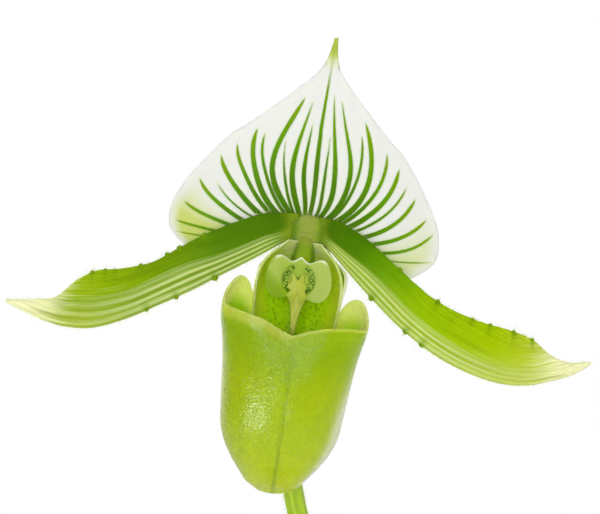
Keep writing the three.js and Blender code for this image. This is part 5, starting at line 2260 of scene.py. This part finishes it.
@dataclass
class Pot:
    """The tapered clay pot with its thick band and four drain holes."""

    finish: ClayFinish = ClayFinish()
    height: float = 101
    foot_radius: float = 41
    shoulder_radius: float = 53.5
    shoulder_height: float = 78
    band_low_radius: float = 57
    band_top_radius: float = 59.5
    inner_foot_radius: float = 36
    inner_top_radius: float = 53
    floor: float = 8
    lip: float = 1.6
    bevel: float = 1.3
    holes: int = 4
    hole_radius: float = 5.5
    hole_ring: float = 20
    around: int = 192

    def inner_radius(self, z: Array | float) -> Array | float:
        """Radius of the inside at a height."""
        share = (z - self.floor) / (self.height - self.floor)
        return self.inner_foot_radius + share * (self.inner_top_radius - self.inner_foot_radius)

    def profile(self) -> Array:
        """Radius and height from the middle of the underside, up the outside and down the inside.

        Returns:
            Rows of radius and height.
        """
        lip, top = self.lip, self.height
        corners = [
            ((0.5, 0), 0), ((self.foot_radius - self.bevel, 0), 0.6), ((self.foot_radius, self.bevel), 0.6),
            ((self.shoulder_radius, self.shoulder_height), 0.9),
            ((self.band_low_radius - lip / 2, self.shoulder_height + lip / 2), 0.8),
            ((self.band_low_radius, self.shoulder_height + lip * 1.5), 0.8),
            ((self.band_top_radius, top - 2 * lip), 0.9),
            ((self.band_top_radius - lip * 0.4, top - lip * 0.6), 0.8),
            ((self.band_top_radius - lip * 1.2, top), 0.7), ((self.inner_top_radius + lip, top), 0.8),
            ((self.inner_top_radius, top - lip), 0.8), ((self.inner_foot_radius, self.floor), 3.0),
            ((0.5, self.floor), 0),
        ]
        points = np.array([corner for corner, _ in corners], float)
        softened = [points[:1]]
        for i in range(1, len(points) - 1):
            before, here, after = points[i - 1], points[i], points[i + 1]
            reach = corners[i][1]
            share = np.linspace(0, 1, 5)[:, None]
            start = here + unit(before - here) * min(reach, np.linalg.norm(before - here) * 0.45)
            end = here + unit(after - here) * min(reach, np.linalg.norm(after - here) * 0.45)
            softened.append((1 - share) ** 2 * start + 2 * share * (1 - share) * here + share**2 * end)
        softened.append(points[-1:])
        line = np.concatenate(softened)
        dense = [line[:1]]
        for a, b in zip(line[:-1], line[1:]):
            parts = max(1, int(np.linalg.norm(b - a) / 3.2))
            dense.append(a + (b - a) * (np.arange(1, parts + 1) / parts)[:, None])
        return np.concatenate(dense)

    def build(self) -> list[bpy.types.Object]:
        """Turns the pot and cuts its drain holes.

        Returns:
            The objects, in the order that they are made in.
        """
        radius, height = self.profile().T
        turn = circle(self.around)
        inside = np.arange(len(radius)) > np.argmax(height >= self.height)
        inside &= radius < self.inner_top_radius + 0.5
        thrown = 0.10 * np.sin(height * 1.9) + 0.06 * np.sin(height * 4.3 + 1)
        wall = rise(height, 3, 8) * (1 - rise(height, 96, 99))
        oval = 0.12 * np.sin(2 * turn + 0.6) * (radius > 20)[:, None]
        reach = radius[:, None] + (thrown * wall * ~inside)[:, None] + oval
        drips = 0.5 + 0.5 * np.sin(turn * 5 + np.sin(turn * 3) * 2)
        foot = (1 - rise(height, 4, 34))[:, None] * (0.55 + 0.45 * drips)
        edge = rise(height, 90, 101)[:, None] * 0.8
        under = hump(height - self.shoulder_height + 2, 6)[:, None] * 0.5
        lime = np.maximum(np.maximum(foot, edge), under) * ~inside[:, None]
        form = loft(ring(reach, turn, height[:, None]), lime=lime, damp=inside[:, None] * 0.9)
        made = form.object("pot_clay", self.finish.material(), sharp=40)
        for middle in circle(self.holes) + math.pi / self.holes:
            self.drill(made, (self.hole_ring * math.cos(middle), self.hole_ring * math.sin(middle), 0))
        return [mount(made, Slot.CLAY, "pot")]

    def drill(self, made: bpy.types.Object, at: Sequence[float]) -> None:
        """Cuts one round drain hole, slightly wider at both mouths.

        Args:
            made: The pot.
            at: The middle of the hole, on the underside.
        """
        mouth = ((-2, 1.22), (0, 1.12), (0.9, 1.0))
        steps = (*mouth, *[(self.floor - z, factor) for z, factor in reversed(mouth)])
        turn = circle(40)
        rings = [ring(self.hole_radius * factor, turn, z) + at for z, factor in steps]
        tool = loft(np.array(rings)).object("drain_cutter")
        cut = made.modifiers.new("drain", "BOOLEAN")
        cut.operation = "DIFFERENCE"
        cut.solver = "MANIFOLD"
        cut.object = tool
        graph = bpy.context.evaluated_depsgraph_get()
        shaped = made.evaluated_get(graph)
        cut_mesh = bpy.data.meshes.new_from_object(shaped, preserve_all_data_layers=True, depsgraph=graph)
        made.modifiers.clear()
        made.data = cut_mesh
        bpy.data.objects.remove(tool)


@dataclass
class CadNumbers:
    """The CAD's repeatable run of numbers from 0 to 1."""

    state: int

    def draw(self) -> float:
        """The next number."""
        self.state = (self.state * 1664525 + 1013904223) % 2**32
        return self.state / 2**32


@dataclass
class BarkMix:
    """The bark that fills the pot, with loose chips, pumice, charcoal and moss on top."""

    pot: Pot
    growths: Sequence[Growth]
    finish: BarkFinish = BarkFinish()
    moss_finish: MossFinish = MossFinish()
    top: float = 85
    chips: int = 46
    size: float = 15.5
    ends: tuple = (0.34, 0.46)
    chip_height: float = 0.34
    stretch: tuple = (1.25, 1, 0.8)
    tip: tuple = (1.3, 0.9)
    lift: float = 1.6
    dish_radius: float = 12.5
    dish_floor: float = 79
    grains: int = 120
    tufts: int = 13
    seed: int = 11

    def out_of_dishes(self, points: Array) -> Array:
        """Points pushed sideways out of the room round each short stem, and in from the pot's wall.

        Args:
            points: Points in the bark mix.

        Returns:
            The moved points.
        """
        moved = points.copy()
        for growth in self.growths:
            away = moved[..., :2] - growth.at
            reach = np.linalg.norm(away, axis=-1, keepdims=True)
            room = self.dish_radius * growth.girth
            pushed = np.maximum(reach, room) + 0.15 * np.minimum(reach - room, 0)
            new_reach = np.where(reach < room, pushed, reach)
            moved[..., :2] = growth.at + away / np.maximum(reach, 0.1) * new_reach
        reach = np.linalg.norm(moved[..., :2], axis=-1, keepdims=True)
        most = (self.pot.inner_radius(moved[..., 2]) - GAP)[..., None]
        moved[..., :2] *= np.minimum(1, most / np.maximum(reach, 0.1))
        return moved

    def in_dish(self, x: float, y: float, margin: float) -> bool:
        """Whether a place lies in the room round a short stem."""
        return any(math.dist((x, y), g.at) < self.dish_radius * g.girth + margin for g in self.growths)

    def bed(self) -> Form:
        """The bark between and under the loose chips, down to the pot's floor.

        Returns:
            The form.
        """
        low = self.pot.floor + GAP
        rim = float(self.pot.inner_radius(self.top)) - GAP
        turn = circle(200)
        r, a = np.meshgrid(np.linspace(1, 0.01, 84) * rim, turn, indexing="ij")
        flat = ring(r, a, self.top)
        height = np.full_like(r, self.top - 0.8)
        for growth in self.growths:
            reach = np.linalg.norm(flat[..., :2] - growth.at, axis=-1)
            room = self.dish_radius * growth.girth
            climb = rise(reach, room * 0.94, room * 1.12)
            height = np.minimum(height, lerp(self.dish_floor, self.top - 0.8, climb))
        rough = 1.5 * np.abs(lumps(flat, 4.2, 3)) + 0.7 * lumps(flat, 1.7, 4) + 0.3 * lumps(flat, 0.8, 5)
        height += (rough - 0.7) * (1 - 0.5 * rise(r, rim * 0.96, rim))
        surface = np.stack([flat[..., 0], flat[..., 1], height], -1)
        side = np.linspace(0, 1, 14)[:-1, None]
        z = lerp(low, height[0], side)
        wall = ring(self.pot.inner_radius(z) - GAP, turn, z)
        tone = 0.25 + 0.3 * lumps(np.zeros((1, 3)), 1, 1)[0]
        return loft(np.concatenate([wall, surface])).marked(tone=tone)

    def slab(self, length: float, seed: int, around: int = 36, flat: float = 1.0) -> Form:
        """One chip lying level round the origin: a five-sided slab of layered bark with worn edges.

        Args:
            length: The chip's size.
            seed: Tells its lumps from the other chips'.
            around: How many points go round it.
            flat: A factor on its height.

        Returns:
            The chip's form.
        """
        caps = [0.12, 0.5, 0.84, 0.96]
        sides = np.linspace(-0.42, 0.42, 8)
        heights = np.concatenate([[-0.5, -0.5, -0.5, -0.475], sides, [0.475, 0.5, 0.5, 0.5]])
        shares = np.concatenate([caps, np.ones(8), caps[::-1]])
        theta = circle(around)
        half = math.radians(36)
        corner = (theta + half) % (2 * half) - half
        pentagon = np.cos(half) / np.cos(half - np.abs(corner))
        top, foot = (end * length for end in self.ends)
        h = heights[:, None]
        radius = lerp(foot, top, h + 0.5) * shares[:, None] * (0.25 + 0.75 * pentagon)
        layer = 1 + 0.05 * np.sin(h * 19 + seed) * (shares[:, None] > 0.99)
        x = radius * layer * np.sin(theta) * self.stretch[0]
        y = radius * layer * np.cos(theta) * self.stretch[2]
        points = np.stack([x, -y, h * length * self.chip_height * flat + 0 * x], -1)
        away = unit(points * [1, 1, 0.6])
        shift = np.array([seed * 7.3, seed * 3.1, seed * 5.7])
        rough = 0.055 * lumps(points + shift, 3.2, 8) + 0.03 * lumps(points + shift, 1.3, 9)
        return loft(points + away * (rough * length)[..., None])

    def laid(self, form: Form, tips: tuple[float, float], turn: float, at: Sequence[float]) -> Form:
        """A slab in its place, clear of stems and pot.

        Args:
            form: The slab.
            tips: How far it is tipped about X and then about Y, in radians.
            turn: How far it is then turned about Z.
            at: Where it then goes.

        Returns:
            The slab's form there.
        """
        x, y, z = form.points.T
        c, s = math.cos(tips[0]), math.sin(tips[0])
        y, z = y * c - z * s, y * s + z * c
        c, s = math.cos(tips[1]), math.sin(tips[1])
        x, z = x * c + z * s, z * c - x * s
        c, s = math.cos(turn), math.sin(turn)
        points = np.stack([x * c - y * s, x * s + y * c, z], -1) + at
        return Form(self.out_of_dishes(points), form.faces, form.marks)

    def big_chips(self) -> list[Form]:
        """The chips that the CAD lays on the bed, at the same places.

        Returns:
            The forms.
        """
        draw = CadNumbers(self.seed).draw
        golden = math.pi * (3 - math.sqrt(5))
        span = float(self.pot.inner_radius(self.top)) - self.size * 0.62
        made = []
        for i in range(self.chips):
            reach = math.sqrt((i + 0.5) / self.chips) * span
            turn = i * golden
            length = self.size * lerp(0.65, 1.15, draw())
            tips = ((draw() - 0.5) * self.tip[0], (draw() - 0.5) * self.tip[1])
            facing = draw() * 2 * math.pi
            at = (reach * math.cos(turn), reach * math.sin(turn), self.top + self.lift * draw())
            if self.in_dish(at[0], at[1], 1.0):
                continue
            form = self.laid(self.slab(length, i), tips, facing, at)
            made.append(form.marked(tone=(i * 0.37) % 1))
        return made

    def small_grains(self) -> list[Form]:
        """Small chips between the big ones, with a few grains of pumice and charcoal.

        Returns:
            The forms.
        """
        draw = np.random.default_rng(self.seed)
        made = []
        for i in range(self.grains):
            reach = 46 * math.sqrt(draw.uniform())
            turn = draw.uniform(0, 2 * math.pi)
            x, y = reach * math.cos(turn), reach * math.sin(turn)
            low = self.in_dish(x, y, 0)
            z = (self.dish_floor if low else self.top) + draw.uniform(0.6, 1.8)
            tips = (draw.uniform(-0.5, 0.5), draw.uniform(-0.5, 0.5))
            kind = "pumice" if i % 8 == 0 else "coal" if i % 11 == 0 else "tone"
            length = draw.uniform(5, 9) if kind == "tone" else draw.uniform(5.5, 8)
            flat = 0.9 if kind == "tone" else 1.7
            if low and length > 7.5:
                continue
            facing = draw.uniform(0, 6.28)
            form = self.laid(self.slab(length, 100 + i, 18, flat), tips, facing, (x, y, z))
            made.append(form.marked(**{"tone": draw.uniform(), kind: 1.0}))
        return made

    def moss(self) -> Form:
        """Tufts of leafy moss shoots in the gaps.

        Returns:
            The form.
        """
        draw = np.random.default_rng(self.seed + 1)
        roots, ways, lengths = [], [], []
        for _ in range(self.tufts):
            reach = draw.uniform(22, 48)
            turn = draw.uniform(0, 2 * math.pi)
            x, y = reach * math.cos(turn), reach * math.sin(turn)
            if self.in_dish(x, y, 3):
                continue
            spread = draw.uniform(2.2, 4.5)
            count = int(26 * spread)
            off = draw.normal(0, spread * 0.5, (count, 2))
            foot = np.stack([x + off[:, 0], y + off[:, 1], np.full(count, self.top + 0.2)], -1)
            tall = draw.uniform(1.6, 3.4, count) * np.exp(-((off**2).sum(1)) / spread**2)
            aside = off / spread * 0.5 + draw.normal(0, 0.25, (count, 2))
            lean = unit(np.concatenate([aside, np.ones((count, 1))], 1))
            for level in (0.25, 0.5, 0.75, 1.0):
                for _ in range(2):
                    roots.append(foot + lean * (tall * level)[:, None])
                    ways.append(lean + draw.normal(0, 0.75 * (1.05 - level) + 0.15, (count, 3)))
                    lengths.append(draw.uniform(0.8, 1.5, count))
            roots.append(foot)
            ways.append(lean)
            lengths.append(tall)
        roots, ways, lengths = (np.concatenate(rows) for rows in (roots, ways, lengths))
        form = bristles(self.out_of_dishes(roots), ways, lengths, 0.34, 41, 0.1)
        tip = np.tile([0.0, 0.0, 0.0, 1.0], len(form.points) // 4)
        return Form(form.points, form.faces, {"tip": tip})

    def build(self) -> list[bpy.types.Object]:
        """Makes the bed, the loose chips and grains, and the moss.

        Returns:
            The objects, in the order that they are made in.
        """
        chips, grains = joined(*self.big_chips()), joined(*self.small_grains())
        return [
            piece(self.bed(), "bark_bed", self.finish.material(), Slot.BARK, "bark_mix", sharp=50),
            piece(chips, "bark_chips", self.finish.material(), Slot.BARK, "bark_mix", sharp=38),
            piece(grains, "bark_grains", self.finish.material(), Slot.BARK, sharp=38),
            piece(self.moss(), "moss_tufts", self.moss_finish.material(), Slot.BARK, sharp=30),
        ]


MAIN_GROWTH = Growth(
    name="main",
    at=(5, -7),
    fan=12,
    girth=1,
    roots=(
        Root(15, 32, 22), Root(40, 30, 36), Root(165, 32, 18), Root(215, 30, 34),
        Root(255, 22, 26), Root(310, 24, 32), Root(283, 33), Root(338, 36),
    ),
    leaves=(
        Leaf(1, 158, 42, 46, -48, -34, 10), Leaf(-1, 150, 41, 46, -42, 36, -12),
        Leaf(1, 146, 43, 60, -28, 12, -6), Leaf(-1, 138, 42, 62, -22, -8, 7),
        Leaf(1, 112, 36, 73, 6, -14, 4), Leaf(-1, 104, 34, 75, 18, 16, -5),
    ),
)
SIDE_GROWTH = Growth(
    name="side",
    at=(-6, 20),
    fan=34,
    girth=0.74,
    roots=(Root(80, 18, 34), Root(125, 16, 26), Root(20, 24, 20)),
    leaves=(
        Leaf(1, 108, 33, 54, -26, 40, -8), Leaf(-1, 98, 30, 58, -10, -66, 8), Leaf(1, 72, 24, 76, 40, 40, 0),
    ),
)
RIGHT_PETAL = Petal(
    name="petal_right",
    hand=1,
    upper=(
        (2.9, 2.0), (6.8, 1.5), (12.5, -1.2), (18.8, -5.6), (24.5, -9.4), (30.3, -11.9),
        (35.9, -13.6), (41.3, -14.2), (45.8, -15.3), (49.5, -18.0), (53.5, -18.8), (57.8, -18.1),
    ),
    lower=(
        (3.1, -2.6), (5.0, -3.8), (9.2, -7.5), (14.5, -12), (20.8, -16.8), (27.7, -20.8),
        (34.0, -23.2), (40.5, -24.5), (46.2, -24.2), (50.6, -22.7), (54.2, -21.2), (58.0, -18.4),
    ),
    upper_warts=(0.277, 0.405, 0.515, 0.573, 0.655, 0.73),
    lower_warts=(0.27, 0.375, 0.42),
    spread_at=(0, 0.12, 0.25, 0.375, 0.5, 0.67, 0.83, 1),
    spread=(2.2, 4.2, 7.5, 7.8, 8.3, 7.2, 6, 4),
    seed=61,
)
LEFT_PETAL = Petal(
    name="petal_left",
    # Painted shade: the left petal's finish is a shaded copy, with darker greens, valley and lower colours
    finish=PetalFinish(
        name="left_petal_shaded_tissue", greens=LEFT_GREENS_SHADED, valley=(0.20, 0.36, 0.0), lower=(0.45, 0.54, 0.05),
    ),
    hand=-1,
    upper=(
        (2.0, 2.1), (7.5, 1.4), (12.7, -0.9), (18, -3.9), (23.2, -7.5), (28.2, -10.9),
        (33.2, -13.0), (38.2, -13.9), (41.6, -16.2), (44.8, -20.1), (49.2, -21.0), (55.0, -21.8),
    ),
    lower=(
        (2.2, -2.6), (4.8, -4.6), (9.5, -8.0), (14, -11.1), (19.5, -15), (25.3, -18.6),
        (31.3, -22.2), (37.4, -24.8), (42.5, -25.3), (46.4, -24.8), (50.2, -23.8), (54.9, -22.2),
    ),
    upper_warts=(0.285, 0.36, 0.40, 0.485, 0.572, 0.602, 0.652),
    lower_warts=(0.3, 0.41, 0.49),
    spread_at=(0, 0.125, 0.275, 0.36, 0.5, 0.67, 0.83, 1),
    spread=(3, 6.2, 8, 10.3, 10.8, 13.4, 11, 8),
    seed=81,
)


@dataclass
class Studio:
    """A white room with soft light, a pale floor, and the camera level with the flower."""

    lens: float = 189.5
    eye: tuple = (-21.55, -616, 379.1)
    floor_radius: float = 4000
    white: Colour = (0.93, 0.93, 0.925)
    before: float = 0.42
    behind: float = 1.3
    gloss_before: float = 0.06

    def floor(self) -> None:
        """A pale round floor under the pot."""
        sides = 128
        reach = np.array([0.02, 0.06, 0.2, 0.5, 1])[:, None] * self.floor_radius
        rings = ring(reach, circle(sides), 0.0)
        points = np.concatenate([rings.reshape(-1, 3), [[0, 0, 0]]])
        around = np.arange(sides)
        middle = np.stack([around, (around + 1) % sides, np.full(sides, len(points) - 1)], -1)
        form = Form(points, [net(len(reach), sides, wrap=True), middle])
        form.object("floor", self.floor_finish())

    def floor_finish(self) -> bpy.types.Material:
        """Pale, nearly even paper."""
        shader = Shader("paper", Roughness=0.9, Specular_IOR_Level=0.1)
        return shader.finish(shader.shaded(self.white, 0.985 + shader.noise(60.0) * 0.03))

    def sky(self) -> None:
        """A white room, brightest behind the plant. Gloss sees it dim in front, as behind a camera."""
        world = bpy.data.worlds.new("studio")
        shader = Nodes(world)
        path = shader.node("LightPath")
        seen = Value(shader, path.outputs["Is Camera Ray"])
        glossy = Value(shader, path.outputs["Is Glossy Ray"])
        way = shader.node("TexCoord").outputs["Generated"]
        depth = Value(shader, shader.node("SeparateXYZ", None, {0: way}).outputs["Y"])
        behind = shader.step(depth, -0.5, 0.9)
        soft = behind * (self.behind - self.before) + self.before
        mirrored_wall = shader.step(depth, 0.45, 0.95)
        gloss = mirrored_wall * (self.behind - self.gloss_before) + self.gloss_before
        light = soft + glossy * (gloss - soft)
        strength = light + seen * (1 - light)
        background = shader.tree.nodes["Background"]
        shader.feed(background.inputs["Color"], (1, 1, 1))
        shader.feed(background.inputs["Strength"], strength)
        bpy.context.scene.world = world

    def lamp(
        self, name: str, at: Sequence[float], size: float, power: float, glints: bool, spread: float = 180
    ) -> None:
        """A square light that looks at the flower.

        Args:
            name: The light's name.
            at: Where it stands.
            size: The length of its side.
            power: Its power in watts.
            glints: Whether it only makes glints on glossy skin, or else only lights the plant softly.
            spread: How wide its beam is, in degrees.
        """
        data = bpy.data.lights.new(name, "AREA")
        data.size = size * MM
        data.energy = power
        data.spread = math.radians(spread)
        made = bpy.data.objects.new(name, data)
        made.visible_glossy = glints
        made.visible_diffuse = not glints
        made.location = Vector(at) * MM
        towards = Vector(CENTRE * MM) - made.location
        made.rotation_euler = towards.to_track_quat("-Z", "Y").to_euler()
        bpy.context.scene.collection.objects.link(made)

    def camera(self) -> None:
        """The camera, level and square to the flower."""
        data = bpy.data.cameras.new("photo_camera")
        data.sensor_width = 36
        data.lens = self.lens
        data.clip_end = 50
        made = bpy.data.objects.new("photo_camera", data)
        made.location = Vector(self.eye) * MM
        made.rotation_euler = (math.pi / 2, 0, 0)
        bpy.context.scene.collection.objects.link(made)
        bpy.context.scene.camera = made

    def build(self) -> None:
        """Sets up floor, light and camera."""
        bpy.context.scene.view_settings.view_transform = "Standard"
        self.floor()
        self.sky()
        self.lamp("front", (-90, -1300, 390), 700, 1.42, glints=False, spread=70)
        self.lamp("left_glint", (-700, -860, 300), 50, 5.5, glints=True)
        self.lamp("front_glint", (-300, -1000, 500), 90, 1.6, glints=True)
        self.lamp("top_glint", (150, -740, 1000), 110, 1.1, glints=True)
        self.lamp("brow_glint", (-260, -420, 1350), 500, 4.0, glints=True)
        self.camera()


def main() -> None:
    """Builds the stage and the plant, piece by piece, and logs each piece's point count."""
    logging.basicConfig(level=logging.INFO, format="%(message)s")
    Studio().build()
    pot = Pot()
    growths = (MAIN_GROWTH, SIDE_GROWTH)
    parts = (
        pot, BarkMix(pot, growths), *growths, Stem(),
        DorsalSepal(), Synsepal(), RIGHT_PETAL, LEFT_PETAL, Lip(), Column(),
    )
    for part in parts:
        for made in part.build():
            log.info("%s: %s, %d points", type(part).__name__, made.name, len(made.data.vertices))


if __name__ == "__main__":
    main()
